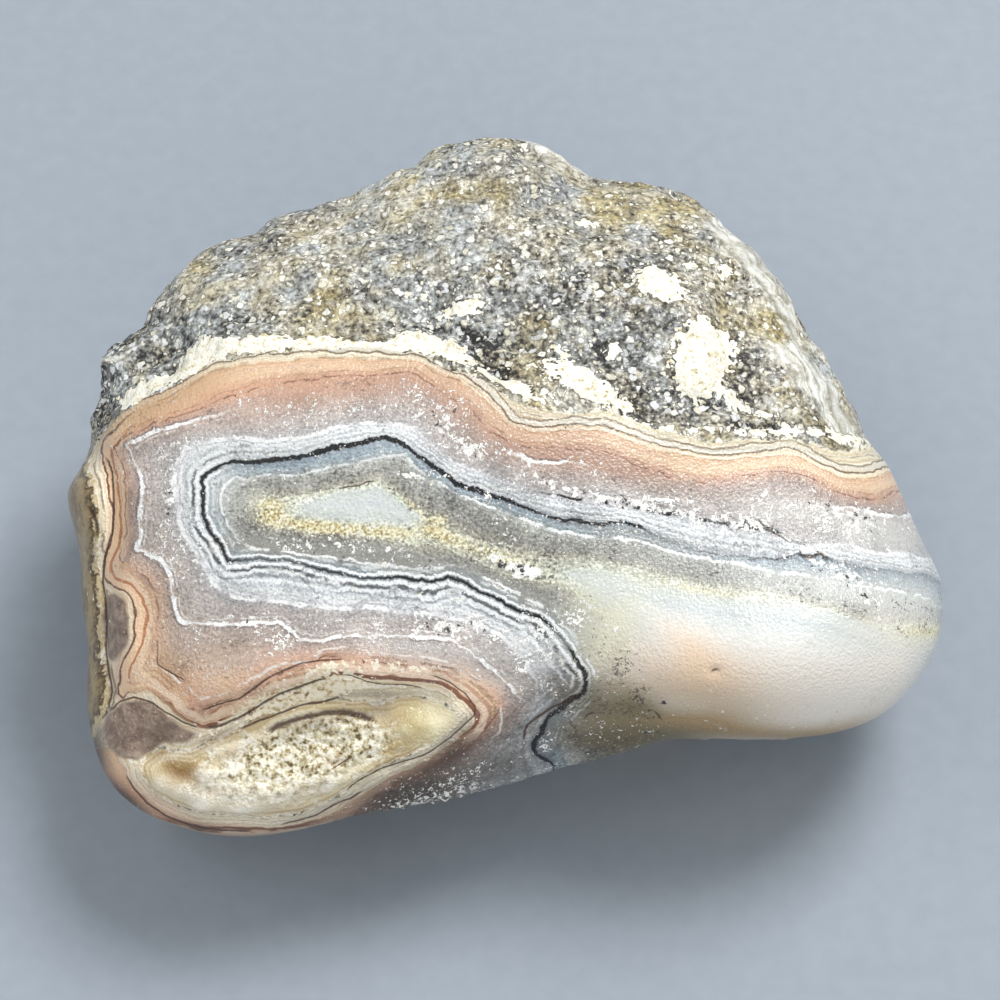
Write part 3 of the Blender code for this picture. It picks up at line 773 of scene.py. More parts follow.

# %% [markdown]
# Now the bands. Each shell of a nodule is closed, so on the face its edge is a contour inside the last
# one. Nine contours are drawn, from the rind inwards, with the sharp corners that give such bands
# the name fortification. They run on past the stone's edge, where the river cut them off.

# %% Nine nested contours
FAR_RIGHT = [(1100, 1100), (1100, 520)]
SHELLS = {
    "cream starts": [
        (1100, 470), (885, 450), (870, 446), (850, 450), (830, 447), (800, 440), (780, 438), (740, 440),
        (700, 438), (660, 428), (640, 420), (620, 412), (600, 410), (570, 412), (545, 410), (520, 405),
        (500, 395), (480, 385), (460, 376), (440, 366), (430, 357), (400, 352), (370, 350), (330, 350),
        (300, 352), (260, 356), (235, 360), (210, 366), (190, 378), (165, 392), (150, 398), (128, 412),
        (118, 420), (100, 436), (95, 450), (88, 462), (92, 475), (98, 490), (100, 510), (99, 530), (98, 545),
        (99, 560), (101, 575), (104, 590), (105, 610), (105, 625), (102, 640), (103, 655), (106, 670),
        (108, 685), (107, 700), (102, 715), (98, 730), (90, 745), (-100, 760), (-100, 1100), *FAR_RIGHT,
    ],
    "orange starts": [
        (1100, 480), (900, 470), (880, 473), (865, 480), (850, 480), (835, 477), (820, 470), (805, 458),
        (790, 452), (770, 454), (740, 459), (700, 458), (670, 454), (650, 448), (635, 442), (620, 435),
        (605, 431), (590, 430), (575, 428), (560, 432), (545, 435), (530, 434), (515, 431), (505, 425),
        (495, 412), (485, 402), (470, 392), (455, 382), (440, 372), (425, 363), (410, 361), (380, 360),
        (340, 359), (300, 359), (270, 361), (240, 365), (215, 372), (190, 385), (165, 397), (140, 408),
        (120, 424), (106, 438), (98, 450), (102, 462), (107, 475), (110, 490), (112, 510), (113, 530),
        (109, 546), (104, 560), (104, 574), (112, 583), (128, 592), (136, 603), (138, 615), (134, 630),
        (128, 645), (122, 657), (118, 665), (116, 680), (114, 695), (118, 700), (125, 692), (145, 691),
        (165, 706), (185, 722), (200, 727), (222, 722), (245, 713), (262, 702), (280, 692), (295, 688),
        (315, 684), (328, 676), (345, 674), (365, 677), (380, 679), (400, 680), (420, 682), (440, 687),
        (455, 695), (468, 705), (478, 716), (473, 728), (462, 740), (448, 751), (430, 762), (410, 771),
        (390, 779), (372, 788), (355, 800), (340, 810), (320, 818), (300, 824), (270, 829), (240, 829),
        (200, 826), (170, 818), (150, 808), (135, 793), (125, 775), (118, 757), (108, 748), (96, 747),
        (-100, 770), (-100, 1100), *FAR_RIGHT,
    ],
    "mauve starts": [
        (1100, 500), (895, 490), (880, 498), (860, 500), (845, 495), (830, 490), (815, 483), (800, 474),
        (785, 470), (770, 472), (740, 476), (720, 480), (700, 483), (670, 478), (650, 468), (630, 462),
        (600, 450), (560, 449), (520, 450), (510, 446), (500, 440), (490, 433), (478, 422), (472, 412),
        (462, 406), (450, 400), (440, 392), (425, 380), (415, 374), (400, 374), (370, 376), (340, 377),
        (300, 381), (260, 388), (230, 397), (200, 408), (180, 414), (150, 424), (125, 436), (110, 447),
        (120, 458), (126, 475), (129, 500), (128, 525), (124, 545), (120, 560), (128, 563), (140, 570),
        (150, 580), (156, 595), (157, 615), (155, 635), (155, 650), (156, 662), (165, 671), (178, 680),
        (188, 691), (195, 705), (202, 711), (210, 706), (222, 701), (240, 697), (252, 688), (262, 680),
        (280, 672), (300, 663), (320, 658), (340, 657), (360, 659), (380, 662), (400, 664), (430, 665),
        (450, 668), (470, 675), (485, 685), (497, 695), (503, 705), (500, 716), (490, 728), (478, 740),
        (465, 752), (450, 762), (430, 773), (410, 780), (395, 788), (380, 797), (365, 808), (350, 817),
        (330, 828), (300, 842), (260, 860), (150, 1100), *FAR_RIGHT,
    ],
    "white line": [
        (1100, 530), (905, 514), (880, 514), (860, 511), (840, 506), (820, 497), (800, 490), (780, 490),
        (750, 497), (720, 495), (680, 487), (640, 478), (600, 468), (570, 463), (540, 462), (510, 455),
        (485, 447), (465, 435), (445, 420), (425, 408), (405, 400), (380, 398), (340, 400), (300, 401),
        (270, 404), (240, 408), (212, 415), (180, 424), (150, 432), (125, 444), (132, 455), (140, 470),
        (143, 485), (144, 500), (143, 520), (140, 540), (136, 550), (150, 556), (160, 562), (168, 575),
        (172, 590), (171, 605), (175, 615), (180, 622), (200, 624), (225, 627), (250, 626), (280, 625),
        (290, 630), (300, 640), (320, 641), (340, 638), (370, 636), (400, 634), (430, 636), (450, 640),
        (465, 648), (475, 655), (485, 663), (495, 672), (505, 680), (515, 692), (527, 705), (520, 722),
        (505, 738), (480, 753), (455, 770), (425, 788), (395, 803), (370, 815), (340, 835), (300, 860),
        (200, 1100), *FAR_RIGHT,
    ],
    "lavender starts": [
        (1100, 575), (935, 560), (900, 553), (850, 548), (800, 540), (770, 527), (740, 523), (700, 519),
        (680, 514), (640, 507), (600, 502), (570, 500), (540, 493), (510, 485), (490, 477), (470, 470),
        (450, 460), (435, 447), (420, 432), (400, 424), (370, 424), (340, 428), (310, 435), (280, 440),
        (250, 439), (220, 440), (200, 444), (185, 450), (179, 460), (176, 480), (178, 500), (180, 520),
        (185, 535), (193, 550), (202, 565), (212, 580), (225, 595), (245, 602), (270, 605), (300, 607),
        (340, 609), (380, 610), (430, 612), (465, 620), (500, 635), (522, 655), (537, 680), (538, 700),
        (530, 715), (518, 732), (505, 748), (490, 762), (475, 778), (460, 800), (440, 1100), *FAR_RIGHT,
    ],
    "black line": [
        (1100, 600), (941, 580), (925, 572), (910, 572), (890, 570), (870, 568), (845, 560), (835, 560),
        (820, 553), (800, 553), (780, 558), (760, 556), (730, 553), (710, 550), (690, 545), (670, 540),
        (655, 532), (640, 526), (620, 523), (600, 526), (580, 524), (560, 522), (540, 515), (520, 508),
        (500, 500), (480, 493), (460, 485), (445, 477), (432, 466), (420, 458), (412, 450), (400, 441),
        (385, 438), (370, 441), (350, 446), (330, 449), (300, 455), (280, 460), (262, 463), (245, 462),
        (232, 461), (222, 466), (212, 474), (203, 482), (202, 500), (203, 518), (210, 530), (215, 535),
        (222, 545), (225, 553), (230, 562), (240, 561), (255, 559), (275, 560), (290, 561), (300, 563),
        (315, 568), (330, 573), (345, 576), (360, 577), (380, 577), (400, 578), (415, 580), (430, 582),
        (445, 578), (455, 579), (470, 585), (480, 591), (500, 600), (515, 608), (530, 613), (540, 617),
        (550, 625), (560, 637), (568, 650), (575, 660), (583, 670), (586, 682), (582, 695), (572, 703),
        (560, 712), (548, 720), (543, 728), (545, 735), (538, 742), (536, 750), (542, 758), (550, 765),
        (555, 775), (560, 800), (600, 1100), *FAR_RIGHT,
    ],
    "thin white line": [
        (1100, 625), (941, 605), (920, 595), (880, 590), (850, 583), (800, 573), (760, 567), (720, 558),
        (680, 553), (640, 540), (600, 540), (570, 535), (540, 527), (500, 513), (470, 500), (430, 480),
        (405, 455), (380, 458), (340, 468), (300, 475), (260, 477), (235, 478), (226, 485), (220, 497),
        (222, 510), (228, 522), (236, 536), (245, 546), (270, 549), (300, 552), (340, 560), (380, 565),
        (420, 568), (455, 567), (480, 575), (500, 584), (530, 598), (552, 612), (572, 632), (585, 652),
        (595, 675), (597, 690), (590, 705), (575, 718), (565, 732), (562, 750), (570, 770), (580, 800),
        (620, 1100), *FAR_RIGHT,
    ],
    "yellow starts": [
        (1100, 650), (930, 625), (900, 622), (870, 620), (840, 612), (800, 600), (760, 592), (740, 589),
        (700, 582), (660, 573), (640, 567), (600, 562), (560, 560), (520, 555), (480, 543), (455, 532),
        (440, 523), (425, 515), (410, 508), (400, 497), (390, 487), (380, 482), (360, 485), (340, 489),
        (320, 492), (300, 495), (280, 497), (262, 500), (258, 510), (262, 522), (280, 528), (300, 530),
        (340, 534), (380, 539), (400, 540), (425, 548), (450, 554), (470, 560), (500, 572), (525, 580),
        (550, 584), (570, 590), (585, 600), (600, 615), (615, 635), (625, 655), (635, 680), (640, 695),
        (632, 710), (622, 730), (620, 760), (640, 1100), *FAR_RIGHT,
    ],
    "milk starts": [
        (1100, 665), (930, 640), (905, 638), (880, 632), (850, 617), (800, 605), (760, 600), (720, 595),
        (680, 588), (640, 580), (600, 572), (568, 574), (585, 590), (605, 608), (625, 632), (640, 655),
        (650, 680), (655, 700), (656, 740), (680, 1100), *FAR_RIGHT,
    ],
}
EYE_CORE_PX = [
    (303, 505), (320, 498), (340, 495), (365, 490), (382, 489), (395, 498), (405, 508), (415, 515),
    (424, 521), (400, 524), (380, 521), (350, 519), (325, 516), (308, 510),
]
POCKET_PX = [
    (145, 755), (160, 748), (185, 752), (205, 742), (222, 735), (245, 727), (262, 716), (280, 706),
    (300, 701), (320, 698), (350, 699), (380, 701), (400, 698), (420, 698), (440, 703), (455, 712),
    (462, 720), (455, 731), (440, 743), (420, 754), (400, 762), (380, 770), (360, 780), (345, 790),
    (325, 803), (300, 812), (270, 817), (240, 817), (205, 813), (175, 805), (155, 795), (143, 780),
    (137, 765),
]
MAUVE_PX = [
    [(107, 598), (117, 593), (127, 603), (131, 618), (127, 636), (121, 650), (113, 661), (106, 655),
     (103, 638), (103, 616)],
    [(106, 716), (116, 704), (130, 700), (146, 702), (162, 714), (180, 728), (198, 734), (188, 741),
     (168, 744), (148, 752), (134, 760), (118, 758), (107, 748), (102, 732)],
]
print(len(SHELLS), "contours with", sum(len(line) for line in SHELLS.values()), "points")

# %% [markdown]
# A band's place is a number that grows from the rind inwards. Between two contours it is the share of the
# way from one to the other, from the distances to both. So bands keep the corners of their contours, bend
# sharply where two runs meet, and crowd together where the contours do, as real shells do.
#
# Below the rim the shells close in towards the base. There every contour gains distance with depth, and
# the bands run round the side of the stone and end in the rind under it.

# %% Growth from the rind inwards
RIND_PX = 40
CORE_PX = 60
CLOSING_PX_PER_MM = 24
CLOSING_START_MM = 1.0
WAVES = ((7.0, 0.30), (3.0, 0.12))
DEPTH_WAVES_PX = ((34.0, 2.2), (13.0, 1.5), (6.5, 1.2))


def inside_distance(points_px, contour_px):
    """Distance to a closed contour, positive inside. A point is inside if a ray from it crosses an odd number
    of the contour's spans."""
    inside = np.zeros(len(points_px), bool)
    nearest = np.full(len(points_px), np.inf)
    x, y = points_px.T
    corners = np.array(contour_px, float)
    for start, end in zip(corners, np.roll(corners, -1, axis=0)):
        span = end - start
        offset = points_px - start
        share = np.clip(offset @ span / (span @ span), 0, 1)
        nearest = np.minimum(nearest, np.hypot(*(offset - share[:, None] * span).T))
        if span[1]:
            crossing = start[0] + (y - start[1]) * span[0] / span[1]
            inside ^= ((start[1] > y) != (end[1] > y)) & (x < crossing)
    return np.where(inside, nearest, -nearest)


def around_contour(points_px, contour_px):
    """How far along a contour its nearest place lies, in pixels from the contour's first corner."""
    nearest = np.full(len(points_px), np.inf)
    around = np.zeros(len(points_px))
    passed = 0.0
    for start, end in zip(np.array(contour_px[:-1], float), np.array(contour_px[1:], float)):
        span = end - start
        offset = points_px - start
        share = np.clip(offset @ span / (span @ span), 0, 1)
        distance = np.hypot(*(offset - share[:, None] * span).T)
        around = np.where(distance < nearest, passed + share * np.hypot(*span), around)
        nearest = np.minimum(distance, nearest)
        passed += np.hypot(*span)
    return around


def growth_number(distances):
    """0 on the first contour, 1 on the second and so on: n + outer / (outer - inner) between two of them, for
    distances that are positive inside. Negative outside the first, and one more in the middle of the last."""
    growth = np.minimum(distances[0], 0) / RIND_PX
    for n, (outer, inner) in enumerate(zip(distances, distances[1:])):
        share = outer / np.maximum(outer - inner, 1e-6)
        growth = np.where(outer > 0, n + np.clip(share, 0, 1), growth)
    return np.where(distances[-1] > 0, len(distances) - 1 + np.minimum(distances[-1] / CORE_PX, 1), growth)


below_rim = np.maximum(-np.minimum(directions[:, 2], 0) * BACK_DEPTH_MM - CLOSING_START_MM, 0)
closing = CLOSING_PX_PER_MM * below_rim * (1 + random_lumps(face_points, WAVES, seed=11))
pixels = np.column_stack([seen_px, out / MM_PER_PX])
wave = np.column_stack([random_lumps(pixels, DEPTH_WAVES_PX, seed=21 + 7 * n) for n in range(2)])
band_px = seen_px + wave
distances = [inside_distance(band_px, contour) for contour in SHELLS.values()]
pocket = inside_distance(band_px, POCKET_PX)
distances[0] = np.minimum(distances[0], -pocket)
distances[-1] = np.maximum(distances[-1], inside_distance(band_px, EYE_CORE_PX))
distances = [distance - closing for distance in distances]
growth = growth_number(distances)
around = around_contour(band_px, SHELLS["black line"])
print("growth from", round(growth.min(), 1), "to", round(growth.max(), 1))

# %% [markdown]
# The mesh takes all of this along: points and cells, and one float attribute for each number that the
# material reads. Attributes ride on the surface, so no picture and no UV map is needed. One of them says
# where the olive strip is, which the river wore smooth at the left edge.

# %% The stone's mesh
STRIP_TOP_PX = (440, 470)
STRIP_RIGHT_PX = (140, 170)
STRIP_END_MM = (2, 5)
BAND_STARTS = (0, 0.1)
SMOOTH_PATCHES = {"chalk": 0.6, "glass_highlight": 0.8}


def stone_mesh(points_mm, quads, numbers):
    """A mesh in metres from arrays, with a float attribute for each named array."""
    mesh = bpy.data.meshes.new("agate stone")
    mesh.vertices.add(len(points_mm))
    mesh.vertices.foreach_set("co", (points_mm / 1000).astype(np.float32).ravel())
    mesh.loops.add(quads.size)
    mesh.loops.foreach_set("vertex_index", quads.astype(np.int32).ravel())
    mesh.polygons.add(len(quads))
    mesh.polygons.foreach_set("loop_start", np.arange(0, quads.size, 4, dtype=np.int32))
    mesh.update(calc_edges=True)
    mesh.validate()
    for name, values in numbers.items():
        layer = mesh.attributes.new(name, "FLOAT", "POINT")
        layer.data.foreach_set("value", values.astype(np.float32))
    mesh.shade_smooth()
    return mesh


names = list(SHELLS)
strip = smooth_step(seen_px[:, 1], *STRIP_TOP_PX) * (1 - smooth_step(seen_px[:, 0], *STRIP_RIGHT_PX))
strip *= 1 - smooth_step(below_rim, *STRIP_END_MM)
rough_rock = (1 - smooth_step(growth, *BAND_STARTS)) * (1 - strip)
for name, share in SMOOTH_PATCHES.items():
    rough_rock *= 1 - share * np.minimum(patches[name], 1)
gritty = np.where(pocket > 0, np.minimum(patches["druse"], 1), rough_rock)
numbers = {
    "growth": growth,
    "around": around,
    "pocket": pocket - closing,
    "strip": strip,
    **{"to " + name: distances[names.index(name)] for name in names[:7]},
    "mauve": np.maximum(*[inside_distance(band_px, contour) for contour in MAUVE_PX]),
    **{f"crack {n}": side for n, side in enumerate(sides)},
    **{f"crack mask {n}": mask * front for n, mask in enumerate(masks)},
    "skin": inside_distance(seen_px, OUTLINE_PX),
    "gritty": gritty,
    **clouds,
    **patches,
}
stone = bpy.data.objects.new("agate_stone", stone_mesh(ground_points, quads, numbers))
bpy.context.scene.collection.objects.link(stone)
print("triangles:", 2 * len(stone.data.polygons), "attributes:", len(stone.data.attributes))

# %% [markdown]
# Materials are node trees. One function turns a hex colour, as a paint chart gives it, into the linear
# numbers that light is added up in. One function adds a node, sets it and links it.

# %% Colour and node helpers
def linear(hex_colour):
    """sRGB to linear: c / 12.92 for dark values, ((c + 0.055) / 1.055)^2.4 for the rest."""
    values = np.array([int(hex_colour[n : n + 2], 16) for n in (1, 3, 5)]) / 255
    bright = ((values + 0.055) / 1.055) ** 2.4
    return (*np.where(values > 0.04045, bright, values / 12.92).tolist(), 1.0)


def add(tree, kind, inputs=(), out=0, stops=(), **settings):
    """Adds a node, gives it its settings and ramp stops, sets or links its inputs, and returns an output."""
    node = tree.nodes.new("ShaderNode" + kind)
    for name, value in settings.items():
        setattr(node, name, value)
    for n, (position, colour) in enumerate(stops):
        stop = node.color_ramp.elements[n] if n < 2 else node.color_ramp.elements.new(1)
        stop.position = position
        stop.color = linear(colour)
    for name, value in dict(inputs).items():
        if isinstance(value, bpy.types.NodeSocket):
            tree.links.new(value, node.inputs[name])
        else:
            node.inputs[name].default_value = value
    return node.outputs[out]


print("a mid grey, linear:", round(linear("#808080")[0], 3))

# %% [markdown]
# Chalcedony is quartz in fibres too fine to see. It takes a waxy polish, and each shell has its own
# colour from traces of iron and from how much water it holds. Between two contours a colour ramp paints
# the shells. Several ramps are used and not one, because a ramp has only 256 steps and the thinnest lines
# are finer than that.

# %% Shell colours
SHELL_COLOURS = [
    [(0.0, "#f2ead6"), (0.16, "#dacba8"), (0.22, "#e9dfc9"), (0.38, "#e6dbbf"), (0.46, "#d6c4a0"),
     (0.52, "#f6eedb"), (0.7, "#f0e2c6"), (0.78, "#dcc29c"), (0.84, "#f6ead2"), (1.0, "#efd9b6")],
    [(0.0, "#e3c19c"), (0.12, "#e2bc9a"), (0.3, "#e9c8a8"), (0.5, "#e8caa8"), (0.75, "#dcb899"),
     (0.9, "#d0a990"), (1.0, "#c9a28c")],
    [(0.0, "#d0ab95"), (0.2, "#c6a795"), (0.45, "#bba69b"), (0.7, "#b0a098"), (1.0, "#b0a39b")],
    [(0.0, "#b9aba2"), (0.3, "#b7aca6"), (0.6, "#b8b0ab"), (0.85, "#b4afad"), (1.0, "#c4c2c3")],
    [(0.0, "#e6e5e4"), (0.14, "#b4b5b8"), (0.26, "#e4e6e5"), (0.4, "#b8bcc0"), (0.5, "#ebeeed"),
     (0.62, "#a6abaf"), (0.72, "#dedfde"), (0.86, "#b3b9be"), (1.0, "#adb4b9")],
    [(0.0, "#6a767d"), (0.25, "#8e9aa4"), (0.55, "#9dabb2"), (0.8, "#9aa4a7"), (1.0, "#a0a5a3")],
    [(0.0, "#cdd0cb"), (0.1, "#b0b1ab"), (0.35, "#a0a098"), (0.6, "#9f9e96"), (0.85, "#a8a598"),
     (1.0, "#bcb8a6")],
    [(0.0, "#cac9b6"), (0.25, "#d1d2bf"), (0.55, "#d8dbc9"), (0.8, "#d9ddd1"), (1.0, "#d3d9d3")],
    # The milky core is partly painted light: darker near its upper edge and paler lower down, to even out the
    # lobe's shading, over its own grey-green to cream.
    [(0.0, "#cdd3cd"), (0.12, "#d8ddd8"), (0.24, "#d1d8d7"), (0.4, "#e0e4e1"), (0.7, "#f0f0ea"),
     (1.0, "#f2ede3")],
]


def shell_colour(tree, growth):
    """One ramp for each pair of contours, each laid over the last where growth has passed its number."""
    colour = None
    for n, stops in enumerate(SHELL_COLOURS):
        share = add(tree, "Math", {0: growth, 1: float(n)}, operation="SUBTRACT")
        ramp = add(tree, "ValToRGB", {"Fac": share}, stops=stops)
        if colour is None:
            colour = ramp
            continue
        passed = add(tree, "Math", {0: growth, 1: float(n)}, operation="GREATER_THAN")
        colour = add(tree, "Mix", {0: passed, 6: colour, 7: ramp}, out=2, data_type="RGBA")
    return colour


print(sum(len(stops) for stops in SHELL_COLOURS), "shell colours")

# %% [markdown]
# The fibres grow at right angles to the shells, and where a shell's edge is cut it looks like a comb. So
# the teeth follow the place around the contour, and ordinary noise breaks them up. The teeth move every
# edge and line. Four numbers in a row, here and below, are the start and end of a change and its values
# before and after.

# %% Teeth of the fibres
TOOTH_PX = 5.0
TOOTH_SHARE = 0.5
FRAY_SIZE_MM = 0.4
OUTER_FRAY = (1.2, 2.8, 0.3, 1.0)
CORE_FRAY = (7.4, 8.2, 1.0, 0.1)


def teeth(tree, at):
    """A number near 0.5: half a noise of the place around the contour, half a noise of the place in space.
    The outer shells and the milky core are smoother, so there it keeps nearer to 0.5."""
    around = add(tree, "Math", {0: at["around"], 1: 1 / TOOTH_PX}, operation="MULTIPLY")
    comb = add(tree, "TexNoise", {"W": around, "Scale": 1.0, "Detail": 2.0, "Roughness": 0.6},
               noise_dimensions="1D")
    fray = add(tree, "TexNoise", {"Vector": at["place"], "Scale": 1000 / FRAY_SIZE_MM, "Detail": 2.0,
                                  "Roughness": 0.7})
    fray = add(tree, "Mix", {0: TOOTH_SHARE, 2: fray, 3: comb})
    outer, core = [
        add(tree, "MapRange", {"Value": at["growth"], **dict(enumerate(steps, 1))})
        for steps in (OUTER_FRAY, CORE_FRAY)
    ]
    share = add(tree, "Math", {0: outer, 1: core}, operation="MULTIPLY")
    return add(tree, "Mix", {0: share, 2: 0.5, 3: fray})


print("teeth", round(TOOTH_PX * MM_PER_PX, 2), "mm wide")

# %% [markdown]
# Lines are drawn apart from the ramps, because a line keeps its thickness while shells swell and shrink.
# Each is a band of fixed width around a contour: the black iron line, the white fortification line, and
# brown lines in the cream and orange shells. A patch says where a line shows, and can make it wider
# there.

# %% Lines along the contours
LINES = [
    ("to cream starts", 8.0, 0.4, 0.2, "#8a7656", "seams", 0.6, True),
    ("to cream starts", 4.5, 0.6, 0.6, "#5c4c3a", "flank", 0.7, True),
    ("to orange starts", -13.0, 0.5, 0.4, "#6a583e", "seams", 0.75, False),
    ("to orange starts", -9.5, 1.8, 0.6, "#d8d4c8", "seams", 0.6, False),
    ("to orange starts", -6.0, 0.5, 0.4, "#5f4b33", "seams", 0.85, False),
    ("to orange starts", 0.0, 0.5, 0.0, "#8f6446", None, 0.5, True),
    ("to orange starts", 8.5, 3.0, 2.0, "#efd6be", "loop", 0.65, False),
    ("to orange starts", 1.5, 0.9, 1.2, "#75422c", "loop", 0.9, False),
    ("to orange starts", 4.8, 0.3, 0.3, "#b88c6a", "loop", 0.6, True),
    ("to orange starts", 14.0, 0.8, 1.0, "#a0623f", "loop", 0.55, True),
    ("to orange starts", 20.0, 0.5, 1.0, "#96704f", "loop", 0.55, True),
    ("to orange starts", 26.5, 0.6, 0.8, "#f2ebe2", "loop", 0.75, True),
    ("to orange starts", 5.0, 3.0, 1.4, "#f3cfaa", "flank", 0.85, False),
    ("to orange starts", 0.0, 0.4, 0.5, "#5c3322", "flank", 0.9, False),
    ("to orange starts", 9.5, 0.7, 0.8, "#b0632f", "flank", 0.8, False),
    ("to orange starts", 13.5, 1.6, 0.8, "#e6c9ab", "flank", 0.75, False),
    ("to orange starts", 22.0, 1.6, 1.2, "#927b74", "flank", 0.5, True),
    ("to mauve starts", 0.0, 0.5, 0.3, "#6a4233", None, 0.7, True),
    ("to mauve starts", -5.0, 0.4, 0.0, "#8f5e45", None, 0.45, True),
    ("to white line", -2.6, 0.8, 0.3, "#6f6266", "frost", 0.6, True),
    ("to white line", 0.0, 0.3, 0.5, "#f6f4f1", "frost", 0.85, False),
    ("to white line", 0.6, 1.2, 1.0, "#fbfbf8", "frost", 1.0, True),
    ("to white line", 6.0, 0.5, 0.2, "#ececea", "frost", 0.6, True),
    ("to lavender starts", 0.0, 1.0, 0.9, "#1f1c1e", "specks", 1.0, True),
    ("to lavender starts", 0.5, 1.2, 1.0, "#f4f4f2", "shell edge", 0.9, True),
    ("to lavender starts", 6.0, 0.8, 0.6, "#f0f0f0", "shell edge", 0.7, True),
    ("to black line", -5.0, 1.1, 0.6, "#f4f6f5", "twin", 0.95, False),
    ("to black line", 4.4, 0.9, 0.5, "#f4f6f5", "twin", 0.95, False),
    ("to black line", -9.5, 1.0, 0.5, "#46474a", "twin", 0.9, True),
    ("to black line", -13.5, 1.0, 0.5, "#eef1f2", "twin", 0.85, True),
    ("to black line", -17.5, 0.8, 0.4, "#7d8085", "twin", 0.7, True),
    ("to black line", -21.5, 0.9, 0.4, "#eceff1", "twin", 0.7, True),
    ("to black line", 0.0, 0.7, 1.7, "#0c0d10", "ink", 1.0, False),
    ("to black line", 10.5, 0.9, 0.5, "#e2e4e0", "twin", 0.7, True),
    ("to thin white line", 0.0, 0.9, 0.4, "#f4f6f4", "thread", 0.95, True),
    ("to thin white line", -5.0, 0.4, 0.0, "#dfe6e8", None, 0.4, True),
]
LINE_FRAY_PX = 6.0
LINE_EDGE_PX = 0.6
LINE_GAPS = (0.40, 0.50)
PATCH_EDGE = 3.0


def lines_over(tree, at, colour, fray):
    """Each line covers where |distance - place| is under its width, and breaks up where noise is low."""
    gaps = add(tree, "MapRange", {"Value": at["gaps"], 1: LINE_GAPS[0], 2: LINE_GAPS[1]})
    for name, place, width, wider, line_colour, patch, strength, broken in LINES:
        distance = add(tree, "Math", {0: fray, 1: LINE_FRAY_PX, 2: at[name]}, operation="MULTIPLY_ADD")
        distance = add(tree, "Math", {0: distance, 1: place + LINE_FRAY_PX / 2}, operation="SUBTRACT")
        distance = add(tree, "Math", {0: distance}, operation="ABSOLUTE")
        if patch:
            distance = add(tree, "Math", {0: at[patch], 1: -wider, 2: distance}, operation="MULTIPLY_ADD")
        cover = add(tree, "MapRange", {"Value": distance, 1: width + LINE_EDGE_PX,
                                       2: width - LINE_EDGE_PX / 2, 3: 0.0, 4: strength})
        if patch:
            share = add(tree, "Math", {0: at[patch], 1: PATCH_EDGE}, operation="MULTIPLY", use_clamp=True)
            cover = add(tree, "Math", {0: cover, 1: share}, operation="MULTIPLY")
        if broken:
            cover = add(tree, "Math", {0: cover, 1: gaps}, operation="MULTIPLY")
        colour = add(tree, "Mix", {0: cover, 6: colour, 7: linear(line_colour)}, out=2, data_type="RGBA")
    return colour


print(len(LINES), "kinds of line")

# %% [markdown]
# Banded chalcedony put together: ramps, fine stripes along the growth number, a sugary grain, the patches
# of tint, some of them painted light and shade, and the lines. White flecks a fifth of a millimetre long
# lie in clumps, partly chips from river bruises and partly painted glints, with tiny dark pits between
# them. Where it is bruised worst, whole crumbs half a millimetre wide stand out.

# %% Banded chalcedony
GROWTH_FRAY = 0.22
STRIPES_PER_SHELL = 13.0
SUGAR_SIZE_MM = 0.2
FLECK_SIZE_MM = 0.34
CRUMB_SIZE_MM = 0.5
FLECK_EDGE = (0.87, 0.91)
DARK_EDGE = (0.60, 0.52)
CRUMB_EDGE = (0.73, 0.77)
GOLD_EDGE = (0.75, 1.1)
STRIPED_SHELLS = (7.6, 8.1, 1.0, 0.1)
SUGARY_SHELLS = ((1.3, 2.5, 0.3, 1.0), (5.8, 6.3, 1.0, 1.5), (7.6, 8.1, 1.0, 0.15))
SHADES = {
    "stripes": (0.38, 0.62, 0.90, 1.08), "mottle": (0.3, 0.7, 0.82, 1.15), "grain": (0.3, 0.7, 0.72, 1.26),
}
# The pale cream and whitish tints are partly painted light, the dusky mauve and dark brown ones partly painted
# shade, and the dark grey lies low on the face.
TINTS = [
    ("veil_light", "#dcdeda", 0.6), ("ivory_light", "#efe8dc", 0.85), ("moss", "#dddbc4", 0.75),
    ("rose_and_shade", "#b8947f", 0.55), ("salmon", "#dba683", 0.6), ("peach", "#f4cfa8", 0.8),
    ("ash", "#94928b", 0.8), ("tan", "#b0946a", 0.8), ("stain", "#7a6f50", 0.85),
    ("low_dark_grey", "#544a40", 0.75), ("umber_shade", "#4b3226", 0.9),
]


def tinted(tree, at, colour, tints):
    """Each tint laid over in turn, by its patch times its strength."""
    for patch, tint, strength in tints:
        share = add(tree, "Math", {0: at[patch], 1: strength}, operation="MULTIPLY", use_clamp=True)
        colour = add(tree, "Mix", {0: share, 6: colour, 7: linear(tint)}, out=2, data_type="RGBA")
    return colour


def sugariness(tree, growth):
    """1 on the mauve and lavender shells, more on the olive ones, less on the smooth cream and orange ones,
    and almost nothing on the milky core."""
    sugary = 1.0
    for steps in SUGARY_SHELLS:
        share = add(tree, "MapRange", {"Value": growth, **dict(enumerate(steps, 1))})
        sugary = add(tree, "Math", {0: sugary, 1: share}, operation="MULTIPLY")
    return sugary


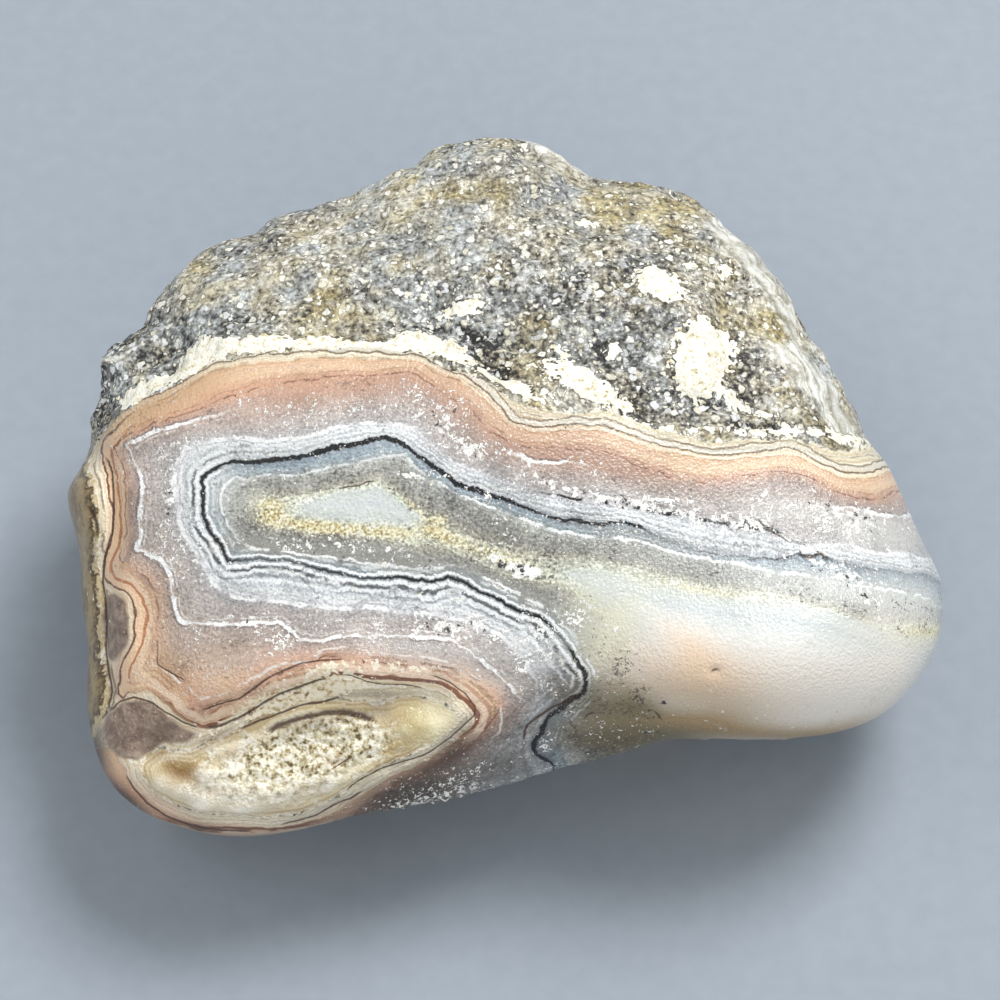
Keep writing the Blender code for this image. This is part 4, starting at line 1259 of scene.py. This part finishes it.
def bruises_and_glints(tree, at, sugary):
    """White flecks, partly chips and partly painted glints, crumbs, and dark pits: two covers from 0 to 1, and
    the flecks alone for the bumps.
    """
    fleck = add(tree, "TexNoise", {"Vector": at["place"], "Scale": 1000 / FLECK_SIZE_MM, "Detail": 2.0,
                                   "Roughness": 0.9})
    for source, share in ((at["flecks"], 0.11), (at["clump"], 0.4)):
        fleck = add(tree, "Math", {0: source, 1: share, 2: fleck}, operation="MULTIPLY_ADD")
    flecks = add(tree, "MapRange", {"Value": fleck, 1: FLECK_EDGE[0], 2: FLECK_EDGE[1]})
    flecks = add(tree, "Math", {0: flecks, 1: sugary}, operation="MULTIPLY", use_clamp=True)
    dark = add(tree, "MapRange", {"Value": fleck, 1: DARK_EDGE[0], 2: DARK_EDGE[1], 4: 0.5})
    dark = add(tree, "Math", {0: dark, 1: sugary}, operation="MULTIPLY", use_clamp=True)
    crumb = add(tree, "TexNoise", {"Vector": at["place"], "Scale": 1000 / CRUMB_SIZE_MM, "Detail": 2.0,
                                   "Roughness": 0.65})
    white = add(tree, "Math", {0: at["crumbs"], 1: 0.26, 2: crumb}, operation="MULTIPLY_ADD")
    white = add(tree, "MapRange", {"Value": white, 1: CRUMB_EDGE[0], 2: CRUMB_EDGE[1]})
    white = add(tree, "Math", {0: flecks, 1: white}, operation="MAXIMUM")
    for source, share, start, end in ((at["crumbs"], -0.26, 0.19, 0.15), (at["pits"], -0.17, 0.24, 0.20)):
        pit = add(tree, "Math", {0: source, 1: share, 2: crumb}, operation="MULTIPLY_ADD")
        pit = add(tree, "MapRange", {"Value": pit, 1: start, 2: end})
        dark = add(tree, "Math", {0: dark, 1: pit}, operation="MAXIMUM")
    return white, dark, flecks


def golden(tree, at, colour, sugar):
    """Iron-stained sugar quartz where patch and grain add up: honey brown to pale yellow by the grain."""
    share = add(tree, "Math", {0: sugar, 1: 1.1, 2: at["gold"]}, operation="MULTIPLY_ADD")
    share = add(tree, "MapRange", {"Value": share, 1: GOLD_EDGE[0], 2: GOLD_EDGE[1], 4: 0.9})
    gold = add(tree, "ValToRGB", {"Fac": sugar},
               stops=[(0.34, "#a08446"), (0.44, "#cfbd82"), (0.54, "#e8deb0"), (0.66, "#faf7e4")])
    return add(tree, "Mix", {0: share, 6: colour, 7: gold}, out=2, data_type="RGBA")


def banded_chalcedony(tree, at, fray, sugar):
    """Colour of the banded agate, and its cover of flecks."""
    growth = add(tree, "Math", {0: fray, 1: GROWTH_FRAY, 2: at["growth"]}, operation="MULTIPLY_ADD")
    growth = add(tree, "Math", {0: growth, 1: GROWTH_FRAY / 2}, operation="SUBTRACT")
    colour = shell_colour(tree, growth)
    along = add(tree, "Math", {0: growth, 1: STRIPES_PER_SHELL}, operation="MULTIPLY")
    stripes = add(tree, "TexNoise", {"W": along, "Scale": 1.0, "Detail": 2.0}, noise_dimensions="1D")
    stripes, mottle, grain = [
        add(tree, "MapRange", {"Value": source, **dict(enumerate(SHADES[name], 1))})
        for name, source in (("stripes", stripes), ("mottle", at["mottle"]), ("grain", sugar))
    ]
    striped = add(tree, "MapRange", {"Value": growth, **dict(enumerate(STRIPED_SHELLS, 1))})
    stripes = add(tree, "Mix", {0: striped, 2: 1.0, 3: stripes})
    shade = add(tree, "Math", {0: mottle, 1: grain}, operation="MULTIPLY")
    sugary = sugariness(tree, growth)
    shade = add(tree, "Math", {0: shade, 1: 1.0}, operation="SUBTRACT")
    shade = add(tree, "Math", {0: shade, 1: sugary, 2: 1.0}, operation="MULTIPLY_ADD")
    shade = add(tree, "Math", {0: shade, 1: stripes}, operation="MULTIPLY")
    colour = add(tree, "VectorMath", {0: colour, "Scale": shade}, operation="SCALE")
    colour = tinted(tree, at, colour, TINTS)
    colour = golden(tree, at, colour, sugar)
    colour = lines_over(tree, at, colour, fray)
    white, dark, flecks = bruises_and_glints(tree, at, sugary)
    # The white flecks are partly chips and partly painted glints.
    for cover, paint in ((dark, "#3f3a39"), (white, "#fbfaf4")):
        colour = add(tree, "Mix", {0: cover, 6: colour, 7: linear(paint)}, out=2, data_type="RGBA")
    return colour, flecks


print(len(TINTS), "tints")

# %% [markdown]
# The rind is the old host rock: quartz and feldspar grains of a quarter to half a millimetre in a dark
# matrix, with chalky patches where it has weathered. Voronoi cells stand for the round pale grains, in
# two sizes, and noise for the crushed rock between them. Parts of it are warm with iron, parts steel
# blue. Its glassy skin carries painted highlights along the upper edge, dark rings round the grains and
# the chalk are painted shadows, and some patches are painted shade.

# %% Granular rind
GRIT_SIZE_MM = 0.36
BEND_SIZE_MM = 0.4
BEND_M = 0.0004
CRUMBLE_SIZE_MM = 0.5
SKIN_STREAK_PX = 5.0
GRAIN_KINDS = ((1.0, 0.34, 0.35), (0.52, 0.36, 0.45))
ROCK_START = -0.84
ROCK_MIDDLE = 0.5
CHALK_SHADOW = (1.80, 1.90)
CHALK_EDGE = (1.93, 2.0)
GLASS_HIGHLIGHT_EDGE = (1.1, 1.5)
ROCK_COLOURS = [
    (0.0, "#1d1b19"), (0.16, "#44413b"), (0.30, "#736f66"), (0.44, "#9c988c"), (0.58, "#bdb9ac"),
    (0.72, "#d8d5c8"), (0.86, "#efede2"), (1.0, "#fffffa"),
]
ROCK_HUES = [(0.30, "#dbe3ef"), (0.46, "#f5f4f0"), (0.60, "#f1ebd8"), (0.76, "#dfd2a8")]


def round_grains(tree, bent):
    """Covers and values of round grains in Voronoi cells of each kind's size. A grain reaches so far from its
    cell's point, and only some cells have one. A third number is a painted shadow round the grains, a fourth
    the sharp-edged splinters, which are whole cells of the last kind."""
    cover, tone, grain_shadow = 0.0, 0.0, 0.0
    for size, reach, missing in GRAIN_KINDS:
        apart = add(tree, "TexVoronoi", {"Vector": bent, "Scale": 1000 / size}, out="Distance")
        cell = add(tree, "SeparateColor", {0: apart.node.outputs["Color"]})
        chosen = add(tree, "MapRange", {"Value": cell, 1: missing, 2: missing + 0.1})
        grain = add(tree, "MapRange", {"Value": apart, 1: reach, 2: reach - 0.1})
        grain = add(tree, "Math", {0: grain, 1: chosen}, operation="MULTIPLY")
        # A painted shadow: a dark ring round each grain.
        grain_shadow_ring = add(tree, "MapRange", {"Value": apart, 1: reach + 0.14, 2: reach + 0.02})
        grain_shadow_ring = add(tree, "Math", {0: grain_shadow_ring, 1: chosen}, operation="MULTIPLY")
        tone = add(tree, "Mix", {0: grain, 2: tone, 3: cell})
        cover = add(tree, "Math", {0: grain, 1: cover}, operation="MAXIMUM")
        grain_shadow = add(tree, "Math", {0: grain_shadow_ring, 1: grain_shadow}, operation="MAXIMUM")
    splinter = add(tree, "MapRange", {"Value": apart, 1: 0.62, 2: 0.52})
    chosen = add(tree, "MapRange", {"Value": cell.node.outputs["Green"], 1: 0.80, 2: 0.84})
    return cover, tone, grain_shadow, add(tree, "Math", {0: splinter, 1: chosen}, operation="MULTIPLY")


def crushed_rock(tree, at, crush, grit, grain_shadow):
    """Colour of the rock between the grains: a grey from all its noises, darker in the painted shadow round
    the grains and in patches of painted shade, with more contrast in the dark seams, times a warm or cold hue."""
    value = ROCK_START
    for source, share in ((crush, 1.0), (grit, 1.25), (at["broad"], 0.45), (grain_shadow, -0.14), (at["dust"], 0.09),
                          (at["rind_shade"], -0.12)):
        value = add(tree, "Math", {0: source, 1: share, 2: value}, operation="MULTIPLY_ADD")
    contrast = add(tree, "Math", {0: at["coal"], 1: 0.8, 2: 1.0}, operation="MULTIPLY_ADD")
    value = add(tree, "Math", {0: value, 1: ROCK_MIDDLE}, operation="SUBTRACT")
    value = add(tree, "Math", {0: value, 1: contrast, 2: ROCK_MIDDLE}, operation="MULTIPLY_ADD")
    value = add(tree, "Math", {0: at["coal"], 1: -0.36, 2: value}, operation="MULTIPLY_ADD")
    grey = add(tree, "ValToRGB", {"Fac": value}, stops=ROCK_COLOURS)
    hue = at["hue"]
    for patch, share in (("ochre", 0.16), ("steel", -0.2)):
        hue = add(tree, "Math", {0: at[patch], 1: share, 2: hue}, operation="MULTIPLY_ADD")
    hue = add(tree, "ValToRGB", {"Fac": hue}, stops=ROCK_HUES)
    return add(tree, "Mix", {0: 1.0, 6: grey, 7: hue}, out=2, data_type="RGBA", blend_type="MULTIPLY")


def glassy_skin_highlight(tree, at, crush):
    """Cover and colour of the glassy skin: pale streaks that follow the stone's outline, partly a pale layer and
    partly painted highlights along the upper edge.
    """
    skin = add(tree, "Math", {0: at["broad"], 1: 26.0, 2: at["skin"]}, operation="MULTIPLY_ADD")
    skin = add(tree, "Math", {0: skin, 1: 1 / SKIN_STREAK_PX}, operation="MULTIPLY")
    streak = add(tree, "TexNoise", {"W": skin, "Scale": 1.0, "Detail": 2.0}, noise_dimensions="1D")
    streak = add(tree, "Math", {0: crush, 1: 0.6, 2: streak}, operation="MULTIPLY_ADD")
    glass_highlight = add(tree, "Math", {0: crush, 1: 1.4, 2: at["glass_highlight"]}, operation="MULTIPLY_ADD")
    glass_highlight = add(tree, "MapRange", {"Value": glass_highlight, 1: GLASS_HIGHLIGHT_EDGE[0], 2: GLASS_HIGHLIGHT_EDGE[1], 4: 0.85})
    return glass_highlight, add(tree, "ValToRGB", {"Fac": streak},
                      stops=[(0.64, "#a6a493"), (0.8, "#dcd9cd"), (0.94, "#fcfdf6")])


def granular_rind(tree, at, crush, grit):
    """Colour of the rind: crushed rock, grains, splinters, glassy skin with painted highlights, a painted shadow
    at the chalk's edge, and chalk, one over the other.
    """
    bent = add(tree, "TexNoise", {"Vector": at["place"], "Scale": 1000 / BEND_SIZE_MM, "Detail": 0.0},
               out="Color")
    bent = add(tree, "VectorMath", {0: bent, 1: (BEND_M,) * 3, 2: at["place"]}, operation="MULTIPLY_ADD")
    grains, tone, grain_shadow, splinter = round_grains(tree, bent)
    colour = crushed_rock(tree, at, crush, grit, grain_shadow)
    pale = add(tree, "ValToRGB", {"Fac": tone},
               stops=[(0.35, "#cdc7ac"), (0.6, "#efead6"), (0.85, "#fffef6")])
    grains = add(tree, "Math", {0: grains, 1: 0.85}, operation="MULTIPLY")
    cold = add(tree, "Math", {0: at["steel"], 1: at["coal"]}, operation="MAXIMUM")
    cold = add(tree, "Math", {0: cold, 1: 0.9}, operation="MULTIPLY", use_clamp=True)
    splinter = add(tree, "Math", {0: splinter, 1: cold}, operation="MULTIPLY")
    glass_highlight, highlight_colour = glassy_skin_highlight(tree, at, crush)
    crumble = add(tree, "TexNoise", {"Vector": at["place"], "Scale": 1000 / CRUMBLE_SIZE_MM, "Detail": 1.0,
                                     "Roughness": 0.6})
    chalk = at["chalk"]
    for source, share in ((crumble, 1.6), (crush, 1.0)):
        chalk = add(tree, "Math", {0: source, 1: share, 2: chalk}, operation="MULTIPLY_ADD")
    # A painted shadow: a dark rim round the chalk patches.
    shadow = add(tree, "MapRange", {"Value": chalk, 1: CHALK_SHADOW[0], 2: CHALK_SHADOW[1], 4: 0.75})
    chalk = add(tree, "MapRange", {"Value": chalk, 1: CHALK_EDGE[0], 2: CHALK_EDGE[1]})
    chalky = add(tree, "ValToRGB", {"Fac": grit},
                 stops=[(0.22, "#a1956c"), (0.32, "#e3d8b3"), (0.42, "#f7f1de"), (0.54, "#fffcee")])
    for cover, paint in ((grains, pale), (splinter, linear("#f1f3f2")), (glass_highlight, highlight_colour),
                         (shadow, linear("#2f2a22")), (chalk, chalky)):
        colour = add(tree, "Mix", {0: cover, 6: colour, 7: paint}, out=2, data_type="RGBA")
    return colour


print(len(GRAIN_KINDS), "kinds of grain, up to", max(GRAIN_KINDS)[0], "mm apart")

# %% [markdown]
# In the pocket the shells ran out and quartz grew as sugar: a druse of tiny crystals, worn blunt, cream
# to honey with dark pits. Its right end is a smooth cream knob. Along its lower edge lies a smooth roll
# with pearls in it, painted near white as highlights, and the last thin shells ring it. Dark brown is
# painted as shade under the pocket's roof, and the chips on the roof are painted pale, lit or shaded.

# %% Druse pocket, flakes and the left strip
RING_PX = 15.0
CRYSTAL_SIZE_MM = 0.34
DRUSE_SIZE_MM = 0.4
# The near-white tint paints highlights on the pearls, and the dark brown paints shade under the pocket's roof.
POCKET_TINTS = [("honey", "#8f6636", 0.8), ("pearl_highlight", "#fff8e6", 0.8), ("umber_shade", "#4b3226", 0.8)]


def druse_pocket(tree, at, fray, crush):
    """Colour inside the pocket: rings at its edge, smooth cream, sugary druse by its patch and the knob, then
    honey spots, painted highlights on the pearls and painted shade under the roof.
    """
    smooth = add(tree, "ValToRGB", {"Fac": at["broad"]},
                 stops=[(0.3, "#b0935f"), (0.4, "#ceb685"), (0.52, "#e3d2a7"), (0.68, "#f6ebca")])
    inwards = add(tree, "Math", {0: fray, 1: 5.0, 2: at["pocket"]}, operation="MULTIPLY_ADD")
    inwards = add(tree, "Math", {0: inwards, 1: 1 / RING_PX}, operation="MULTIPLY")
    rings = add(tree, "ValToRGB", {"Fac": inwards},
                stops=[(0.15, "#946c46"), (0.28, "#e6d5b2"), (0.42, "#ad8f60"), (0.55, "#e0cfa6"),
                       (0.75, "#c0a878"), (0.85, "#e3d5ae"), (1.0, "#d4c294")])
    ringed = add(tree, "MapRange", {"Value": inwards, 1: 1.0, 2: 0.8, 4: 0.8})
    facet = add(tree, "TexVoronoi", {"Vector": at["place"], "Scale": 1000 / CRYSTAL_SIZE_MM}, out="Color")
    facet = add(tree, "SeparateColor", {0: facet})
    sugar = add(tree, "TexNoise", {"Vector": at["place"], "Scale": 1000 / DRUSE_SIZE_MM, "Detail": 1.0,
                                   "Roughness": 0.7})
    for source, share in ((facet, 0.2), (crush, 0.5)):
        sugar = add(tree, "Math", {0: source, 1: share, 2: sugar}, operation="MULTIPLY_ADD")
    sugar = add(tree, "Math", {0: sugar, 1: 0.35}, operation="SUBTRACT")
    grainy = add(tree, "ValToRGB", {"Fac": sugar},
                 stops=[(0.24, "#5f5037"), (0.32, "#96865f"), (0.41, "#c4b691"), (0.5, "#dcd3b5"),
                        (0.62, "#fbf6e4")])
    druse = add(tree, "Math", {0: crush, 1: 2.0, 2: at["druse"]}, operation="MULTIPLY_ADD")
    druse = add(tree, "MapRange", {"Value": druse, 1: 1.3, 2: 1.7})
    knob = add(tree, "MapRange", {"Value": at["knob"], 1: 0.3, 2: 1.0, 4: 0.8})
    knob_colour = add(tree, "ValToRGB", {"Fac": at["broad"]},
                      stops=[(0.35, "#c0b286"), (0.5, "#d0c59c"), (0.65, "#e0d7b4")])
    colour = smooth
    for cover, paint in ((ringed, rings), (druse, grainy), (knob, knob_colour)):
        colour = add(tree, "Mix", {0: cover, 6: colour, 7: paint}, out=2, data_type="RGBA")
    return tinted(tree, at, colour, POCKET_TINTS)


def flake_chips(tree, at, grit):
    """Cover and colour of cream quartz chips on the pocket's roof: painted lit or shaded, or gone, by grit and
    patch. Their pale paint also lifts the shade in the crease there.
    """
    cover = add(tree, "Math", {0: grit, 1: 2.0, 2: at["flake_light"]}, operation="MULTIPLY_ADD")
    cover = add(tree, "MapRange", {"Value": cover, 1: 1.4, 2: 1.6, 4: 0.9})
    return cover, add(tree, "ValToRGB", {"Fac": grit},
                      stops=[(0.28, "#7a5636"), (0.36, "#cdb48c"), (0.44, "#efdfba"), (0.54, "#fff5dc")])


def left_strip(tree, at, crush):
    """Colour of the worn olive strip at the left edge: lines along the growth number, mottled."""
    value = add(tree, "Math", {0: crush, 1: 0.7, 2: at["growth"]}, operation="MULTIPLY_ADD")
    value = add(tree, "Math", {0: value, 1: 0.62}, operation="ADD")
    return add(tree, "ValToRGB", {"Fac": value},
               stops=[(0.0, "#6b5838"), (0.25, "#9c875d"), (0.42, "#7a6745"), (0.58, "#b29c72"),
                      (0.72, "#8f7c56"), (0.82, "#4a3720"), (0.9, "#d3c09a"), (1.0, "#bba678")])


print("rings", RING_PX, "pixels wide, crystals", CRYSTAL_SIZE_MM, "mm")

# %% [markdown]
# The stone's material lays rind, strip, pocket and bands over one another by the numbers on its points,
# with the mauve knobs, the chips and the cracks on top. It turns the same noise into bumps: grains on the
# rind and in the druse, bruises on the bands. A worn agate has a waxy gloss, so its roughness is near 0.3.
# The rind is a mixture of dull rock and glassy grains. Bands and rind have a shader each, because the
# renderer then works out only the one that a place needs.

# %% The stone's material
BUMP_DEPTH_M = 0.0002
BUMP_STRENGTH = 0.8
WEAR_SIZE_MM = 0.8
CRUSH_SIZE_MM = 1.1
QUARTZ_IOR = 1.54
WAXY_ROUGHNESS = 0.28
POCKET_EDGE = (4.0, 6.0)
BAND_EDGE = (0.27, 0.33)
CRACK_WANDER = 1.6
CRACK_EDGE = (1.4, 0.5)
CRACK_COLOUR = "#452919"


def mauve_knobs(tree, at, wear):
    """Cover and colour of the two mauve knobs at the left edge."""
    cover = add(tree, "Math", {0: wear, 1: 4.0, 2: at["mauve"]}, operation="MULTIPLY_ADD")
    cover = add(tree, "MapRange", {"Value": cover, 1: 0.5, 2: 4.0, 4: 0.95})
    return cover, add(tree, "ValToRGB", {"Fac": wear},
                      stops=[(0.3, "#6a564a"), (0.5, "#8b7465"), (0.7, "#ac9888")])


def cracked(tree, at, wear):
    """Cover of every crack: near 1 where the side number, moved by the wear, is near 0, times the mask."""
    cover = 0.0
    for n in range(len(CRACKS)):
        crack = add(tree, "Math", {0: wear, 1: CRACK_WANDER, 2: at[f"crack {n}"]}, operation="MULTIPLY_ADD")
        crack = add(tree, "Math", {0: crack, 1: CRACK_WANDER / 2}, operation="SUBTRACT")
        crack = add(tree, "Math", {0: crack}, operation="ABSOLUTE")
        crack = add(tree, "MapRange", {"Value": crack, 1: CRACK_EDGE[0], 2: CRACK_EDGE[1], 4: 0.9})
        crack = add(tree, "Math", {0: crack, 1: at[f"crack mask {n}"]}, operation="MULTIPLY")
        cover = add(tree, "Math", {0: crack, 1: cover}, operation="MAXIMUM")
    return cover


def agate_finish():
    """Quartz, river worn: waxy on the bands, granular on the rind."""
    material = bpy.data.materials.new("banded_chalcedony")
    material.use_nodes = True
    tree = material.node_tree
    at = {name: add(tree, "Attribute", attribute_name=name, out="Fac") for name in numbers}
    at["place"] = add(tree, "TexCoord", out="Object")
    wear, crush, grit, sugar = [
        add(tree, "TexNoise", {"Vector": at["place"], "Scale": 1000 / size, "Detail": octaves,
                               "Roughness": share})
        for size, octaves, share in ((WEAR_SIZE_MM, 2.0, 0.75), (CRUSH_SIZE_MM, 3.0, 0.75),
                                     (GRIT_SIZE_MM, 1.0, 0.6), (SUGAR_SIZE_MM, 1.0, 0.5))
    ]
    fray = teeth(tree, at)
    banded, flecks = banded_chalcedony(tree, at, fray, sugar)

    pocket = add(tree, "Math", {0: wear, 1: 10.0, 2: at["pocket"]}, operation="MULTIPLY_ADD")
    in_pocket = add(tree, "MapRange", {"Value": pocket, 1: POCKET_EDGE[0], 2: POCKET_EDGE[1]})
    edge = add(tree, "Math", {0: wear, 1: 0.6, 2: at["growth"]}, operation="MULTIPLY_ADD")
    inside = add(tree, "MapRange", {"Value": edge, 1: BAND_EDGE[0], 2: BAND_EDGE[1]})
    rind = granular_rind(tree, at, crush, grit)
    for cover, paint in (
        (at["strip"], left_strip(tree, at, crush)), (in_pocket, druse_pocket(tree, at, fray, crush)),
    ):
        rind = add(tree, "Mix", {0: cover, 6: rind, 7: paint}, out=2, data_type="RGBA")
    rock = add(tree, "Math", {0: 1.0, 1: at["strip"]}, operation="SUBTRACT", use_clamp=True)
    rough = add(tree, "MapRange", {"Value": grit, 1: 0.4, 2: 0.6, 3: 0.5, 4: 0.18})
    rough = add(tree, "Mix", {0: rock, 2: WAXY_ROUGHNESS, 3: rough})

    height = add(tree, "Math", {0: at["gritty"], 1: grit}, operation="MULTIPLY")
    for source, share in ((flecks, 0.35), (sugar, 0.5), (fray, 0.3)):
        height = add(tree, "Math", {0: source, 1: share, 2: height}, operation="MULTIPLY_ADD")
    bump = add(tree, "Bump", {"Height": height, "Strength": BUMP_STRENGTH, "Distance": BUMP_DEPTH_M})
    on_top = (
        mauve_knobs(tree, at, wear), flake_chips(tree, at, grit), (cracked(tree, at, wear), linear(CRACK_COLOUR)),
    )
    shaders = []
    for colour, roughness in ((rind, rough), (banded, WAXY_ROUGHNESS)):
        for cover, paint in on_top:
            colour = add(tree, "Mix", {0: cover, 6: colour, 7: paint}, out=2, data_type="RGBA")
        shaders.append(add(tree, "BsdfPrincipled", {"Base Color": colour, "Roughness": roughness,
                                                    "Normal": bump, "IOR": QUARTZ_IOR}))
    both = add(tree, "MixShader", {0: inside, 1: shaders[0], 2: shaders[1]})
    tree.nodes.remove(tree.nodes["Principled BSDF"])
    tree.links.new(both, tree.nodes["Material Output"].inputs["Surface"])
    return material


stone.data.materials.append(agate_finish())
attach(stone, "root")
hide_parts("agate")
print("nodes in the stone's material:", len(stone.data.materials[0].node_tree.nodes))

# %% [markdown]
# The floor is a plain pale sheet of card. It gives the stone its shadow and lights it from below.

# %% Floor
FLOOR_HALF_M = 0.6
FIBRE_SIZE_MM = 1.5
CARD_ROUGHNESS = 0.8


def card_floor():
    """Matt card: one square, with the faint cloudiness of paper fibres in its colour."""
    half = FLOOR_HALF_M
    mesh = bpy.data.meshes.new("floor")
    corners = [(-half, -half, 0), (half, -half, 0), (half, half, 0), (-half, half, 0)]
    mesh.from_pydata(corners, [], [(0, 1, 2, 3)])
    material = bpy.data.materials.new("matt_card")
    material.use_nodes = True
    tree = material.node_tree
    shader = tree.nodes["Principled BSDF"]
    place = add(tree, "TexCoord", out="Object")
    fibres = add(tree, "TexNoise", {"Vector": place, "Scale": 1000 / FIBRE_SIZE_MM, "Detail": 4.0})
    colour = add(tree, "ValToRGB", {"Fac": fibres}, stops=[(0.3, "#9aa3ad"), (0.7, "#9fa8b2")])
    tree.links.new(colour, shader.inputs["Base Color"])
    shader.inputs["Roughness"].default_value = CARD_ROUGHNESS
    mesh.materials.append(material)
    return bpy.data.objects.new("floor", mesh)


floor = card_floor()
bpy.context.scene.collection.objects.link(floor)

# %% [markdown]
# Soft studio light: a wide panel above and behind the stone, as a north window would be, two weaker ones
# at the left and low in front, and a pale room all round.

# %% Light
ROOM_STRENGTH = 0.44


def panel(name, place_m, size_m, power_w):
    """A square area light that faces the stone."""
    light = bpy.data.lights.new(name, "AREA")
    light.size = size_m
    light.energy = power_w
    lamp = bpy.data.objects.new(name, light)
    lamp.location = place_m
    lamp.rotation_euler = Vector(place_m).to_track_quat("Z", "Y").to_euler()
    bpy.context.scene.collection.objects.link(lamp)


panel("window", (0.22, 0.20, 0.50), 0.24, 2.7)
panel("fill", (-0.34, -0.04, 0.42), 0.40, 0.6)
panel("front", (0.05, -0.42, 0.22), 0.40, 0.6)
room = bpy.data.worlds.new("room")
bpy.context.scene.world = room
room.use_nodes = True
for name, value in (("Color", linear("#e8ecf0")), ("Strength", ROOM_STRENGTH)):
    room.node_tree.nodes["Background"].inputs[name].default_value = value
bpy.context.scene.view_settings.view_transform = "Standard"

# %% [markdown]
# The camera stands where the drawing's eye is, so the picture's pixels fall on the same places of the
# stone.

# %% Camera
def eye_camera():
    """A camera at the eye: its frame is 1000 pixels wide at the distance of the picture's middle."""
    elevation = math.radians(EYE_ELEVATION_DEG)
    towards = Vector((0, -math.cos(elevation), math.sin(elevation)))
    middle = Vector((*CENTRE_SHIFT_MM, BASE_DROP_MM)) / 1000
    data = bpy.data.cameras.new("eye")
    data.angle = 2 * math.atan(1000 * MM_PER_PX / 2 / EYE_DISTANCE_MM)
    camera = bpy.data.objects.new("eye", data)
    camera.location = middle + towards * EYE_DISTANCE_MM / 1000
    camera.rotation_euler = towards.to_track_quat("Z", "Y").to_euler()
    bpy.context.scene.collection.objects.link(camera)
    return camera


bpy.context.scene.camera = eye_camera()
